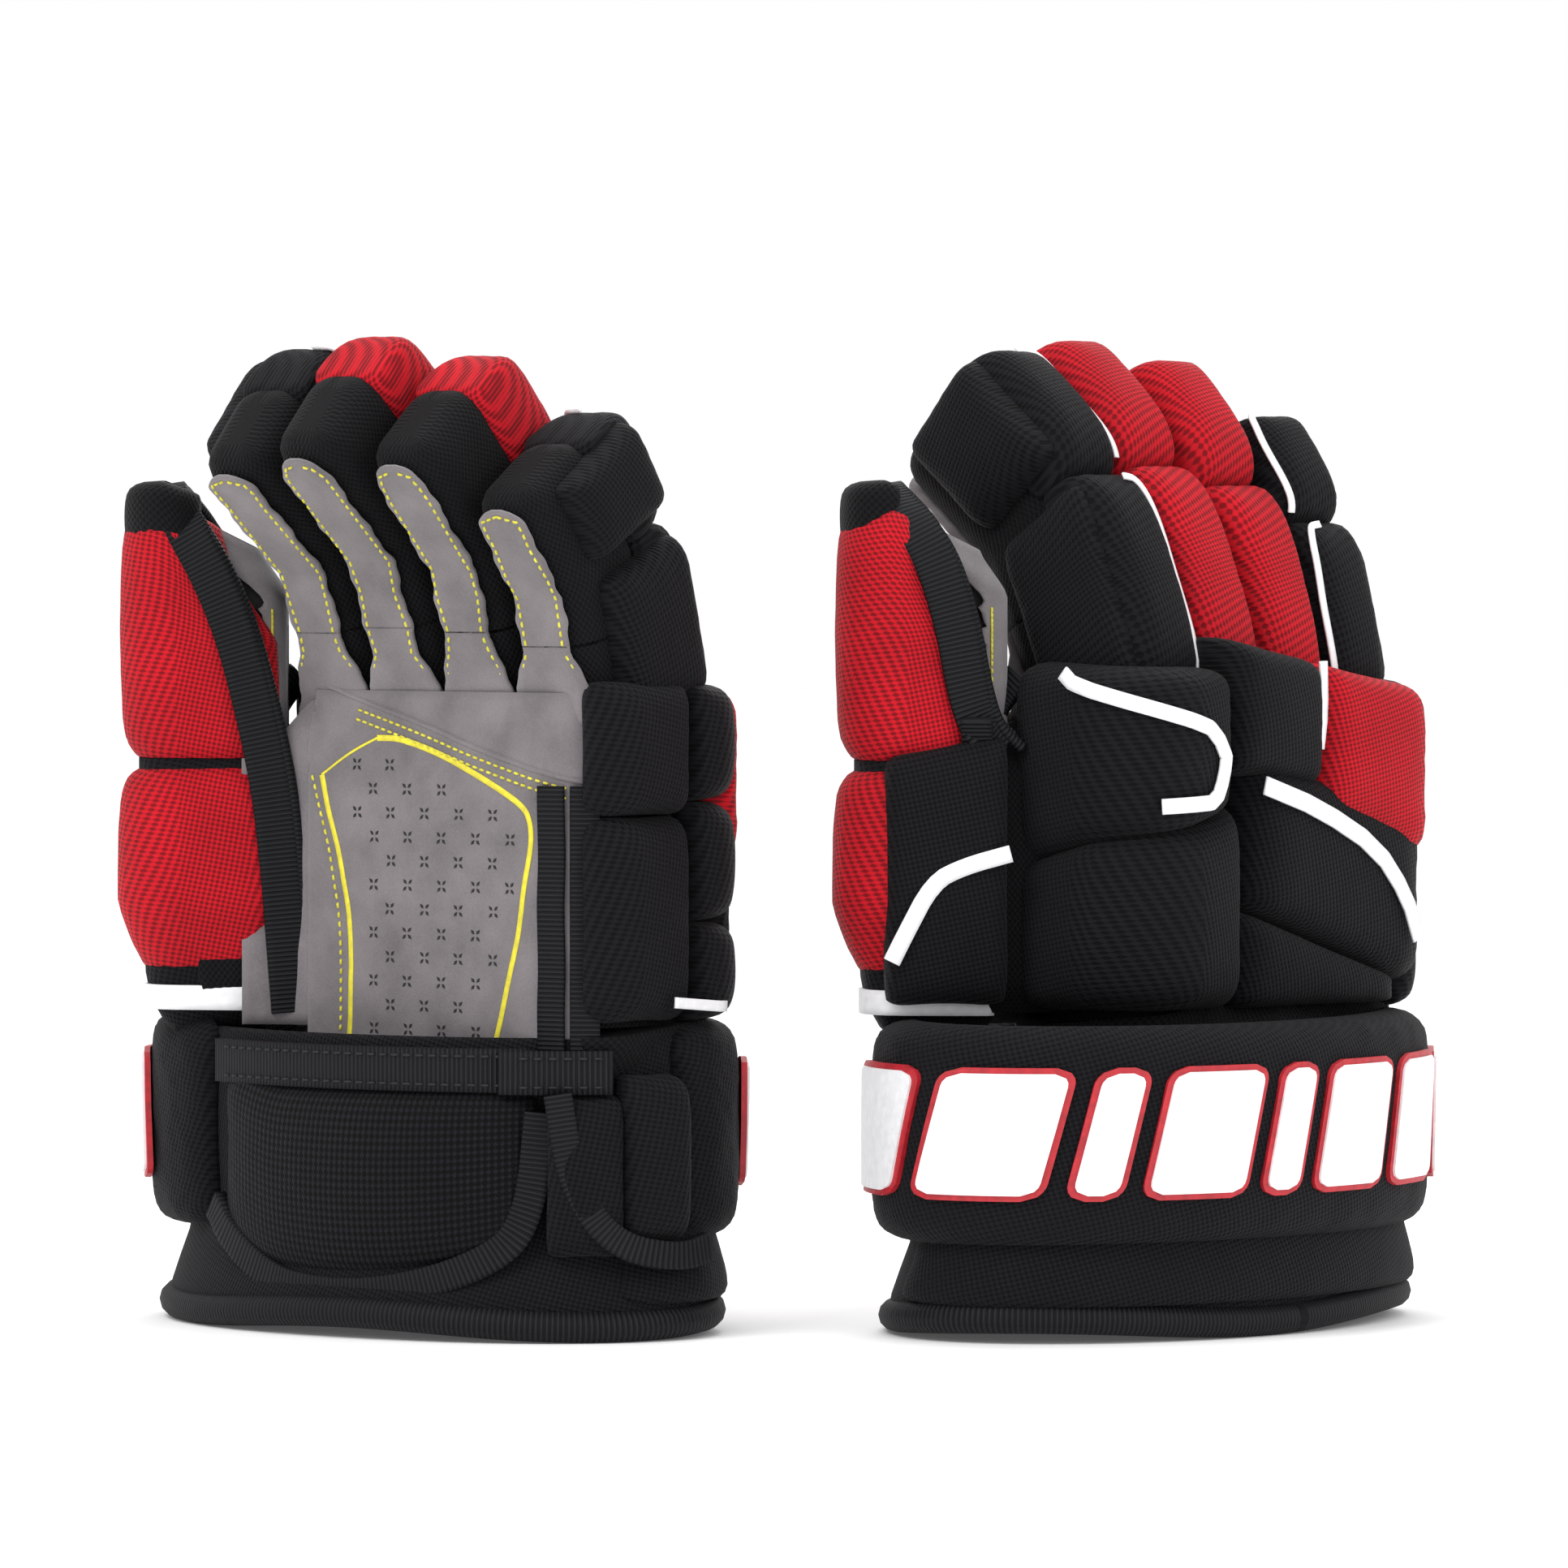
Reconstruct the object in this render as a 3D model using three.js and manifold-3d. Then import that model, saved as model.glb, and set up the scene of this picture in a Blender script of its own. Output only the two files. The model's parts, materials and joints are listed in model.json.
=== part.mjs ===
// A pair of ice hockey gloves standing on their cuffs: the left glove with its palm
// forward, the right glove with its back forward, both with the thumb to the left.
// Units are millimetres. +X runs from the left glove to the right, +Z is up.

import * as THREE from 'three';
import Module from 'manifold-3d';
import { RoundedBoxGeometry } from 'three/addons/geometries/RoundedBoxGeometry.js';
import { mergeVertices } from 'three/addons/utils/BufferGeometryUtils.js';

const wasm = await Module();
wasm.setup();

// ---- Driving dimensions ----------------------------------------------------------

// Clearance between two pieces that are sewn together or lie on each other.
const seamGap = 0.3;
// Clearance between two pieces that move past each other.
const moveGap = 1;

// The pair
// Clear space between the two gloves, seen from the front.
const pairGap = 23.3;
const leftYaw = -40;
const rightYaw = 48;

// Cuff: half width runs across the wrist, half depth from palm to back.
const cuffHeight = 95;
const cuffHalfWidth = 95;
const cuffHalfDepth = 57;
const cuffWall = 5;
const rollBottom = 30;
const rollTop = 98;
const rollThickness = 15;
const flapBottom = 23;
const flapTop = 77;
const flapThickness = 9;
// Where the palm flap starts and ends around the cuff, in degrees from the outer side.
const flapStart = 241;
const flapEnd = 322;
const flapSideGap = 3;

// Hand: the thumb edge is measured from the middle of the cuff.
const thumbEdge = -35.5;
const fingerPitch = 31;
const handFront = -28;
const handDepth = 52;
const handHeight = 100;
const handWall = 3;
const handCorner = 8;
const wristGap = 2;
const palmThickness = 5;
const palmInset = 9.5;

// Pads on the back and the sides of the hand
const backPadThickness = 23;
const sidePadThickness = 12;
// How far below the corner of the hand the side pad starts.
const sidePadDrop = 2;
const wrapPadThickness = 18;
const padRise = 2;
const padSeam = 1.5;
const lowerPadHeight = 47.5;
const outerPadHeight = 74;
const backSplit = -3;
const backSplitGap = 3;
// How much of the cut corner the outer back pads cover.
const backPadWrap = 0.75;
const padBevel = 4;

// Fingers
const fingerGap = 2;
const fingerDepth = 37;
const stallWall = 2.5;
const fingerPadThickness = 22;
const fingerPadCorner = 6;
const knuckleRise = 2;
const knucklePadOverlap = 6;
const middlePadOverlap = 4;
const tipPadInset = 5;

// Each finger: length of its lower and upper section, and how far each leans forward.
const fingers = [
  { name: 'index', lower: 42, upper: 50, knuckleBend: 22, middleBend: 28, pad: 'black' },
  { name: 'middle', lower: 46, upper: 50, knuckleBend: 22, middleBend: 26, pad: 'red' },
  { name: 'ring', lower: 42, upper: 46, knuckleBend: 18, middleBend: 24, pad: 'red' },
  { name: 'little', lower: 32, upper: 36, knuckleBend: 14, middleBend: 22, pad: 'black' },
];

// Thumb: it stands beside the palm, turned so that its pad faces outward.
const thumbTurn = 40;
const thumbForward = -40;
const thumbBottom = 112;
const thumbSeam = 178;
const thumbTop = 266;
const thumbDepth = 34;
const thumbStallThickness = 30;
const thumbPadThickness = 22;
const thumbPadCorner = 6;
const thumbTipPadInset = 9;
const thumbClearance = 1.6;
const thumbSidePadThickness = 13;
const thumbSidePadWidth = 40;
const softCorner = 5;
// The web between thumb and hand starts this far inside the hand and short of its back.
const webInset = 2;
const webDrop = 14;

// ---- Values that follow ----------------------------------------------------------

const rad = THREE.MathUtils.degToRad;
const outerEdge = thumbEdge + fingers.length * fingerPitch;
const handBack = handFront + handDepth;
const handBottom = rollTop + wristGap;
const handTop = handBottom + handHeight;
const knuckleHeight = handTop + knuckleRise;
const padBottom = handBottom + padRise;
const thumbHalf = (thumbPadThickness + seamGap + thumbStallThickness) / 2;
const thumbReach = thumbHalf * Math.cos(rad(thumbTurn)) + thumbDepth / 2 * Math.sin(rad(thumbTurn));
const thumbMiddle = thumbEdge - thumbClearance - thumbReach;

// ---- Materials -------------------------------------------------------------------

function fabric(color, roughness) {
  return new THREE.MeshStandardMaterial({ color, roughness, metalness: 0 });
}

const finishes = {
  black: () => fabric(0x1f1f24, 0.85),
  red: () => fabric(0xcc202d, 0.7),
  suede: () => fabric(0x7a7577, 0.95),
  knit: () => fabric(0x141417, 0.95),
};

// ---- Geometry helpers ------------------------------------------------------------

// Degrees between the facets of the cuff.
const arcStep = 10;

// A closed mesh as a solid that can be cut or joined.
function solid(geometry) {
  const plain = geometry.clone();
  plain.deleteAttribute('normal');
  plain.deleteAttribute('uv');
  const merged = mergeVertices(plain, 1e-4);
  return new wasm.Manifold(new wasm.Mesh({
    numProp: 3,
    vertProperties: new Float32Array(merged.attributes.position.array),
    triVerts: new Uint32Array(merged.index.array),
  }));
}

// The surface of a solid as a geometry.
function surface(body) {
  const mesh = body.getMesh();
  const geometry = new THREE.BufferGeometry();
  geometry.setAttribute('position', new THREE.BufferAttribute(mesh.vertProperties, 3));
  geometry.setIndex(new THREE.BufferAttribute(mesh.triVerts, 1));
  geometry.computeVertexNormals();
  return geometry;
}

// A box between two corners.
function box(low, high) {
  const size = high.map((value, axis) => value - low[axis]);
  const geometry = new THREE.BoxGeometry(...size);
  return geometry.translate(...low.map((value, axis) => value + size[axis] / 2));
}

// A box with rounded edges between two corners.
function softBox(low, high, corner) {
  const size = high.map((value, axis) => value - low[axis]);
  const geometry = new RoundedBoxGeometry(...size, 1, Math.min(corner, ...size.map((s) => s / 2.1)));
  return geometry.translate(...low.map((value, axis) => value + size[axis] / 2));
}

// An outline raised from one height to another.
function raise(shape, bottom, top, bevel = 0) {
  const geometry = new THREE.ExtrudeGeometry(shape, {
    depth: top - bottom - 2 * bevel,
    curveSegments: 4,
    bevelEnabled: bevel > 0,
    bevelThickness: bevel,
    bevelSize: bevel,
    bevelOffset: -bevel,
    bevelSegments: 1,
  });
  return geometry.translate(0, 0, bottom + bevel);
}

// Points along part of an ellipse, angles in degrees. All arcs share the same steps, so
// the facets of a ring and of what lies around it run side by side.
function ellipseArc(halfWidth, halfDepth, from, to) {
  const angles = [from];
  for (let angle = (Math.floor(from / arcStep) + 1) * arcStep; angle < to; angle += arcStep) {
    angles.push(angle);
  }
  angles.push(to);
  return angles.map((angle) => new THREE.Vector2(
    halfWidth * Math.cos(rad(angle)),
    halfDepth * Math.sin(rad(angle)),
  ));
}

// A path moved sideways to its left.
function beside(path, distance) {
  return path.map((point, index) => {
    const before = path[Math.max(index - 1, 0)];
    const after = path[Math.min(index + 1, path.length - 1)];
    const into = index > 0 ? point.clone().sub(before) : after.clone().sub(point);
    const out = index < path.length - 1 ? after.clone().sub(point) : into.clone();
    const normalIn = new THREE.Vector2(-into.y, into.x).normalize();
    const normalOut = new THREE.Vector2(-out.y, out.x).normalize();
    const middle = normalIn.clone().add(normalOut).normalize();
    return point.clone().addScaledVector(middle, distance / middle.dot(normalIn));
  });
}

// A pad of even thickness that lies on the left of a path.
function wrap(path, thickness, bottom, top) {
  const outline = [...path, ...beside(path, thickness).reverse()];
  return raise(new THREE.Shape(outline), bottom, top, padBevel);
}

// A closed outline made smaller by a wall; its points run clockwise.
function inset(outline, wall) {
  const ring = [outline.at(-1), ...outline, outline[0]];
  return beside(ring, -wall).slice(1, -1);
}

function place(parent, name, geometry, finish) {
  const mesh = new THREE.Mesh(geometry, finishes[finish]());
  mesh.name = name;
  parent.add(mesh);
}

// ---- Cuff ------------------------------------------------------------------------

// A ring wall around the wrist, over part of a turn.
function cuffSector(innerWidth, innerDepth, thickness, from, to) {
  const inside = ellipseArc(innerWidth, innerDepth, from, to);
  const outside = ellipseArc(innerWidth + thickness, innerDepth + thickness, from, to);
  return new THREE.Shape([...outside, ...inside.reverse()]);
}

function addCuff(glove, side) {
  // Knit liner: a full sleeve whose lower edge is the hem that the glove stands on.
  const liner = new THREE.Shape(ellipseArc(cuffHalfWidth, cuffHalfDepth, 0, 360).slice(1));
  const wrist = ellipseArc(cuffHalfWidth - cuffWall, cuffHalfDepth - cuffWall, 0, 360);
  liner.holes.push(new THREE.Path(wrist.slice(1)));
  place(glove, `${side}_cuff_liner`, raise(liner, 0, cuffHeight), 'knit');

  // Padded roll around the back and both sides, open at the palm.
  const width = cuffHalfWidth + seamGap;
  const depth = cuffHalfDepth + seamGap;
  const sideGap = flapSideGap / cuffHalfDepth * THREE.MathUtils.RAD2DEG / 2;
  const roll = cuffSector(width, depth, rollThickness, flapEnd + sideGap, flapStart - sideGap + 360);
  place(glove, `${side}_cuff_roll`, raise(roll, rollBottom, rollTop, padBevel), 'black');

  // Palm flap between the ends of the roll.
  const flap = cuffSector(width, depth, flapThickness, flapStart, flapEnd);
  place(glove, `${side}_cuff_flap`, raise(flap, flapBottom, flapTop), 'black');
}

// ---- Hand ------------------------------------------------------------------------

// A point of the turned thumb, in the glove's frame.
function thumbPoint(x, y) {
  const turned = new THREE.Vector2(x, y).rotateAround(new THREE.Vector2(), rad(thumbTurn));
  return turned.add(new THREE.Vector2(thumbMiddle, thumbForward));
}

const stallInner = thumbHalf;
const stallOuter = thumbHalf - thumbStallThickness;
const thumbBack = thumbPoint(stallInner, thumbDepth / 2);
const webStart = thumbEdge + handCorner + webInset;
const webAnchor = new THREE.Vector2(webStart, handBack - webDrop);

// The thumb's root beside the hand, joined to it by the web.
function thumbRootOutline() {
  return [
    new THREE.Vector2(webStart, handFront + handWall),
    thumbPoint(stallInner, -thumbDepth / 2),
    thumbPoint(stallOuter, -thumbDepth / 2),
    thumbPoint(stallOuter, thumbDepth / 2),
    thumbBack.clone(),
    webAnchor.clone(),
  ];
}

// The hand's outline, clockwise, with cut corners.
function handOutline() {
  const c = handCorner;
  return [
    new THREE.Vector2(outerEdge - c, handFront),
    new THREE.Vector2(thumbEdge + c, handFront),
    new THREE.Vector2(thumbEdge, handFront + c),
    new THREE.Vector2(thumbEdge, handBack - c),
    new THREE.Vector2(thumbEdge + c, handBack),
    new THREE.Vector2(outerEdge - c, handBack),
    new THREE.Vector2(outerEdge, handBack - c),
    new THREE.Vector2(outerEdge, handFront + c),
  ];
}

// Where the pads over the thumb side start: on the web, then round onto the back.
function thumbSidePath(end) {
  const along = webAnchor.clone().sub(thumbBack).normalize();
  const start = thumbBack.clone().addScaledVector(along, backSplitGap);
  const reach = (thumbEdge - thumbBack.x) / along.x;
  const corner = thumbBack.clone().addScaledVector(along, reach);
  const path = [
    start,
    corner,
    new THREE.Vector2(thumbEdge, handBack - handCorner),
    new THREE.Vector2(thumbEdge + handCorner, handBack),
    new THREE.Vector2(end, handBack),
  ];
  return beside(path, seamGap);
}

// From the split on the back of the hand round the outer corner.
function outerBackPath() {
  const cut = new THREE.Vector2(outerEdge - handCorner, handBack);
  const low = new THREE.Vector2(outerEdge, handBack - handCorner);
  const cornerPoint = cut.clone().lerp(low, backPadWrap);
  const path = [
    new THREE.Vector2(backSplit + backSplitGap, handBack),
    cut,
    cornerPoint,
  ];
  return beside(path, seamGap);
}

// Down the outer side of the hand, from the back to the palm.
function outerSidePath() {
  const path = [
    new THREE.Vector2(outerEdge, handBack - handCorner - sidePadDrop),
    new THREE.Vector2(outerEdge, handFront + handCorner),
    new THREE.Vector2(outerEdge - handCorner / 2, handFront + handCorner / 2),
  ];
  return beside(path, seamGap);
}

function addHand(glove, side) {
  const outer = solid(raise(new THREE.Shape(handOutline()), handBottom, handTop))
    .add(solid(raise(new THREE.Shape(thumbRootOutline()), thumbBottom, thumbSeam)));
  const handRoom = inset(handOutline(), handWall);
  const rootRoom = inset(thumbRootOutline(), handWall);
  const inner = solid(raise(new THREE.Shape(handRoom), handBottom - 1, handTop + 1))
    .add(solid(raise(new THREE.Shape(rootRoom), thumbBottom + handWall, thumbSeam + 1)));
  place(glove, `${side}_hand_liner`, surface(outer.subtract(inner)), 'knit');

  const palmFront = handFront - seamGap - palmThickness;
  const palmLow = [thumbEdge + palmInset, palmFront, handBottom];
  const palmHigh = [outerEdge - handCorner, handFront - seamGap, handTop - padSeam];
  place(glove, `${side}_palm_panel`, box(palmLow, palmHigh), 'suede');

  const lowerTop = padBottom + lowerPadHeight;
  const outerTop = padBottom + outerPadHeight;
  const cover = thumbSidePath(backSplit);
  const outerBack = outerBackPath();
  const pads = {
    back_pad_lower: wrap(cover, wrapPadThickness, padBottom, lowerTop),
    back_pad_upper: wrap(cover, wrapPadThickness, lowerTop + padSeam, handTop),
    back_pad_outer: wrap(outerBack, backPadThickness, padBottom, outerTop),
    knuckle_pad: wrap(outerBack, backPadThickness, outerTop + padSeam, handTop),
    side_pad: wrap(outerSidePath(), sidePadThickness, padBottom, handTop),
  };
  for (const [name, geometry] of Object.entries(pads)) {
    place(glove, `${side}_${name}`, geometry, 'black');
  }
}

// ---- Thumb -----------------------------------------------------------------------

function addThumb(glove, side) {
  const thumb = new THREE.Group();
  thumb.position.set(thumbMiddle, thumbForward, 0);
  thumb.rotation.z = rad(thumbTurn);
  glove.add(thumb);
  const halfDepth = thumbDepth / 2;
  const padInner = stallOuter - seamGap;
  const padOuter = padInner - thumbPadThickness;
  const seamBelow = thumbSeam - moveGap / 2;
  const seamAbove = thumbSeam + moveGap / 2;

  const stallLow = [stallOuter, -halfDepth, seamAbove];
  const stallHigh = [stallInner, halfDepth, thumbTop];
  const stall = solid(softBox(stallLow, stallHigh, softCorner))
    .subtract(solid(box(
      [stallOuter + handWall, -halfDepth + handWall, seamAbove - 1],
      [stallInner - handWall, halfDepth - handWall, thumbTop - handWall],
    )));
  place(thumb, `${side}_thumb_stall`, surface(stall), 'suede');

  const tipPad = softBox(
    [padOuter, -halfDepth, seamAbove],
    [padInner, halfDepth, thumbTop - thumbTipPadInset],
    thumbPadCorner,
  );
  place(thumb, `${side}_thumb_tip_pad`, tipPad, 'red');

  const basePad = softBox(
    [padOuter, -halfDepth, thumbBottom],
    [padInner, halfDepth, seamBelow],
    thumbPadCorner,
  );
  place(thumb, `${side}_thumb_base_pad`, basePad, 'red');

  const sidePadEnd = stallInner - padSeam;
  const sidePad = softBox(
    [sidePadEnd - thumbSidePadWidth, halfDepth + seamGap, thumbBottom],
    [sidePadEnd, halfDepth + seamGap + thumbSidePadThickness, seamBelow],
    softCorner,
  );
  place(thumb, `${side}_thumb_side_pad`, sidePad, 'black');
}

// ---- Fingers ---------------------------------------------------------------------

function addFinger(glove, side, finger, index) {
  const half = (fingerPitch - fingerGap) / 2;
  const padFront = fingerDepth + seamGap;
  const padBack = padFront + fingerPadThickness;
  const endGap = moveGap / 2;
  const prefix = `${side}_${finger.name}`;

  // Lower section, hinged at the knuckle on its palm side.
  const lower = new THREE.Group();
  lower.position.set(thumbEdge + (index + 0.5) * fingerPitch, handFront, knuckleHeight);
  lower.rotation.x = rad(finger.knuckleBend);
  glove.add(lower);
  const midStall = solid(box([-half, 0, endGap], [half, fingerDepth, finger.lower - endGap]))
    .subtract(solid(box(
      [-half + stallWall, stallWall, -1],
      [half - stallWall, fingerDepth - stallWall, finger.lower + 1],
    )));
  place(lower, `${prefix}_mid_stall`, surface(midStall), 'knit');
  const midPad = softBox(
    [-half, padFront, -knucklePadOverlap],
    [half, padBack, finger.lower + middlePadOverlap],
    fingerPadCorner,
  );
  place(lower, `${prefix}_mid_pad`, midPad, finger.pad);

  // Upper section, hinged on the lower one on its palm side.
  const upper = new THREE.Group();
  upper.position.set(0, 0, finger.lower);
  upper.rotation.x = rad(finger.middleBend);
  lower.add(upper);
  const tipStall = solid(softBox([-half, 0, endGap], [half, fingerDepth, finger.upper], softCorner))
    .subtract(solid(box(
      [-half + stallWall, stallWall, -1],
      [half - stallWall, fingerDepth - stallWall, finger.upper - stallWall],
    )));
  place(upper, `${prefix}_tip_stall`, surface(tipStall), 'suede');
  const tipPad = softBox(
    [-half, padFront, -middlePadOverlap],
    [half, padBack, finger.upper - tipPadInset],
    fingerPadCorner,
  );
  place(upper, `${prefix}_tip_pad`, tipPad, finger.pad);
}

// ---- Gloves ----------------------------------------------------------------------

// One glove with its palm towards -Y and its thumb towards -X.
function makeGlove(side) {
  const glove = new THREE.Group();
  addCuff(glove, side);
  addHand(glove, side);
  addThumb(glove, side);
  fingers.forEach((finger, index) => addFinger(glove, side, finger, index));
  return glove;
}

const pair = new THREE.Group();

const left = makeGlove('left');
left.rotation.z = rad(leftYaw);
pair.add(left);

// The right glove is the mirror image, with its palm to the rear.
const right = makeGlove('right');
right.scale.y = -1;
const rightTurn = new THREE.Group();
rightTurn.rotation.z = rad(rightYaw);
rightTurn.add(right);
pair.add(rightTurn);

// The gloves stand side by side, a clear space apart.
pair.updateMatrixWorld(true);
const leftExtent = new THREE.Box3().setFromObject(left, true);
const rightExtent = new THREE.Box3().setFromObject(rightTurn, true);
rightTurn.position.x = leftExtent.max.x + pairGap - rightExtent.min.x;

// The origin is on the floor, under the middle of the pair's outer box.
pair.updateMatrixWorld(true);
const extent = new THREE.Box3().setFromObject(pair, true);
const centre = extent.getCenter(new THREE.Vector3());
pair.position.set(-centre.x, -centre.y, -extent.min.z);
pair.updateMatrixWorld(true);

export default pair;
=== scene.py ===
import json
import math

import bmesh
import bpy
from mathutils import Matrix, Vector, noise


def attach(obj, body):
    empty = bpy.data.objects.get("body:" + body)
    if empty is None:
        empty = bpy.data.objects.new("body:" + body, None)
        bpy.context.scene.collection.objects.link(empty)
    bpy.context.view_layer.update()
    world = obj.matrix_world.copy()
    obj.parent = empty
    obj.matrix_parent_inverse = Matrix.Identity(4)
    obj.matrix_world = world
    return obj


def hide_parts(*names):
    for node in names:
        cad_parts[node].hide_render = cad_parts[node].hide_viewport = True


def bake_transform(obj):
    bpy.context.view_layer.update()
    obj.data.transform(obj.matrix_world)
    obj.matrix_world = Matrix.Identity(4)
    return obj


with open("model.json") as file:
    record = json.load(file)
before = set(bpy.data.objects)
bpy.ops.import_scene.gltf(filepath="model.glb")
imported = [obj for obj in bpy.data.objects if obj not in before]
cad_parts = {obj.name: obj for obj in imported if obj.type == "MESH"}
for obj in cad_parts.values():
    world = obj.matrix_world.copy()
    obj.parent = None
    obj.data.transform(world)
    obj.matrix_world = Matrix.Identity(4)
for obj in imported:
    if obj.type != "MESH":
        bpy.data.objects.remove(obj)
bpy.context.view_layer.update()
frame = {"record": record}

# ---- View, light and floor ---------------------------------------------------------
# A long lens looks straight at the pair from the front, a little above the floor, in a
# white studio: a wide pale floor and large soft lamps.

VIEW_WIDTH = 0.502
VIEW_MIDDLE = Vector((0.0, 0.0, 0.1726))
CAMERA_DISTANCE = 3.2
CAMERA_ELEVATION = math.radians(1.5)


def linear(code):
    """A hex sRGB colour as linear RGBA."""
    parts = [int(code[i:i + 2], 16) / 255 for i in (1, 3, 5)]
    return [c / 12.92 if c <= 0.04045 else ((c + 0.055) / 1.055) ** 2.4 for c in parts] + [1.0]


def add(material, kind, inputs=None, links=None, **settings):
    """Adds one shader node, sets its fields and inputs, and links sockets into it."""
    node = material.node_tree.nodes.new("ShaderNode" + kind)
    for field, value in settings.items():
        setattr(node, field, value)
    for socket, value in (inputs or {}).items():
        node.inputs[socket].default_value = value
    for socket, source in (links or {}).items():
        material.node_tree.links.new(source, node.inputs[socket])
    return node


def new_material(name):
    material = bpy.data.materials.new(name)
    material.use_nodes = True
    material.node_tree.nodes.clear()
    return material


def finish_material(material, color, roughness, normal=None, **inputs):
    """Ends a material with one principled shader."""
    named = {key.replace("_", " "): value for key, value in inputs.items()}
    shader = add(material, "BsdfPrincipled", named)
    for socket, value in (("Base Color", color), ("Roughness", roughness), ("Normal", normal)):
        if isinstance(value, bpy.types.NodeSocket):
            material.node_tree.links.new(value, shader.inputs[socket])
        elif value is not None:
            shader.inputs[socket].default_value = value
    add(material, "OutputMaterial", links={"Surface": shader.outputs[0]})
    return material


camera = bpy.data.objects.new("camera", bpy.data.cameras.new("camera"))
bpy.context.scene.collection.objects.link(camera)
camera.data.lens = camera.data.sensor_width * CAMERA_DISTANCE / VIEW_WIDTH
away = Vector((0, -math.cos(CAMERA_ELEVATION), math.sin(CAMERA_ELEVATION)))
camera.location = VIEW_MIDDLE + away * CAMERA_DISTANCE
camera.rotation_euler = (math.pi / 2 - CAMERA_ELEVATION, 0, 0)
camera.data.clip_end = 20
bpy.context.scene.camera = camera

world = bpy.data.worlds.new("studio")
world.use_nodes = True
world.node_tree.nodes["Background"].inputs["Color"].default_value = (1, 1, 1, 1)
world.node_tree.nodes["Background"].inputs["Strength"].default_value = 1.0
bpy.context.scene.world = world
bpy.context.scene.view_settings.view_transform = "Standard"


def area_lamp(name, location, size, power):
    lamp = bpy.data.objects.new(name, bpy.data.lights.new(name, "AREA"))
    lamp.data.size = size
    lamp.data.energy = power
    lamp.location = location
    lamp.rotation_euler = (VIEW_MIDDLE - Vector(location)).to_track_quat("-Z", "Y").to_euler()
    bpy.context.scene.collection.objects.link(lamp)


area_lamp("key_lamp", (-0.9, -1.1, 1.5), 0.8, 14)
area_lamp("fill_lamp", (1.2, -1.2, 0.8), 1.0, 6)
area_lamp("top_lamp", (0.1, 0.3, 1.7), 0.9, 7)
area_lamp("rear_lamp", (0.3, 1.4, 1.1), 0.9, 6)

floor_mesh = bmesh.new()
bmesh.ops.create_grid(floor_mesh, x_segments=1, y_segments=1, size=12)
floor_data = bpy.data.meshes.new("floor")
floor_mesh.to_mesh(floor_data)
floor = bpy.data.objects.new("floor", floor_data)
bpy.context.scene.collection.objects.link(floor)
paper = new_material("white paper")
finish_material(paper, linear("#FCFCFC"), 0.9, Emission_Color=(1, 1, 1, 1), Emission_Strength=0.07)
floor_data.materials.append(paper)

# ---- Cloth, suede and trim -----------------------------------------------------------
# Every textile pattern is laid out in millimetres along the piece's own surface, which
# its UV map holds: u runs across the piece and v along it.


def surface_sines(material, pitch, turn=0.0, stretch=1.0):
    """Two sines that cross each other, one period per pitch in millimetres."""
    uv = add(material, "UVMap")
    turned = add(material, "Mapping", {"Rotation": (0, 0, math.radians(turn))}, {"Vector": uv.outputs[0]})
    rate = 2 * math.pi / pitch
    scaled = add(material, "Mapping", {"Scale": (rate, rate * stretch, 1)}, {"Vector": turned.outputs[0]})
    waves = add(material, "VectorMath", links={0: scaled.outputs[0]}, operation="SINE")
    return add(material, "SeparateXYZ", links={0: waves.outputs[0]})


def cloud(material, scale, detail=3.0):
    """Uneven tone over the whole object, in the object's own space."""
    place = add(material, "TexCoord")
    scaled = add(material, "Mapping", {"Scale": (scale, scale, scale)}, {"Vector": place.outputs["Object"]})
    return add(material, "TexNoise", {"Scale": 1.0, "Detail": detail}, {"Vector": scaled.outputs[0]})


def blend_colors(material, factor, first, second):
    return add(material, "MixRGB", {"Color1": linear(first), "Color2": linear(second)}, {"Fac": factor})


def spread(material, value, low, high, out_low=0.0, out_high=1.0):
    return add(material, "MapRange", {1: low, 2: high, 3: out_low, 4: out_high}, {0: value}).outputs[0]


def textile(name, thread, gap, pitch, depth, turn=45.0, stretch=1.0, open_at=-0.2):
    """A cloth of crossing threads: raised dots with darker gaps between them. depth is in
    millimetres, and a higher open_at opens wider gaps."""
    material = new_material(name)
    waves = surface_sines(material, pitch, turn, stretch)
    dots = add(material, "Math", links={0: waves.outputs[0], 1: waves.outputs[1]}, operation="MULTIPLY")
    height = spread(material, dots.outputs[0], open_at - 0.35, open_at + 0.45)
    color = blend_colors(material, height, gap, thread)
    tone = cloud(material, 45)
    shade = spread(material, tone.outputs[0], 0.3, 0.7, 0.86, 1.06)
    toned = add(material, "VectorMath", links={0: color.outputs[0]}, operation="SCALE")
    material.node_tree.links.new(shade, toned.inputs["Scale"])
    fuzz = cloud(material, 2500, 2.0)
    grain = add(material, "Math", {1: 0.25}, {0: fuzz.outputs[0], 2: height}, operation="MULTIPLY_ADD")
    bump = add(material, "Bump", {"Strength": 0.8, "Distance": depth * 0.001}, {"Height": grain.outputs[0]})
    return finish_material(material, toned.outputs[0], 0.75, bump.outputs[0],
                           Sheen_Weight=0.03, Sheen_Roughness=0.5, Specular_IOR_Level=0.12)


def ribbed(name, thread, gap, pitch):
    """Grosgrain tape: fine ribs across its length."""
    material = new_material(name)
    waves = surface_sines(material, pitch)
    height = spread(material, waves.outputs[1], -0.9, 0.6)
    color = blend_colors(material, height, gap, thread)
    bump = add(material, "Bump", {"Strength": 0.9, "Distance": 0.0005}, {"Height": height})
    return finish_material(material, color.outputs[0], 0.6, bump.outputs[0], Specular_IOR_Level=0.15)


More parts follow.
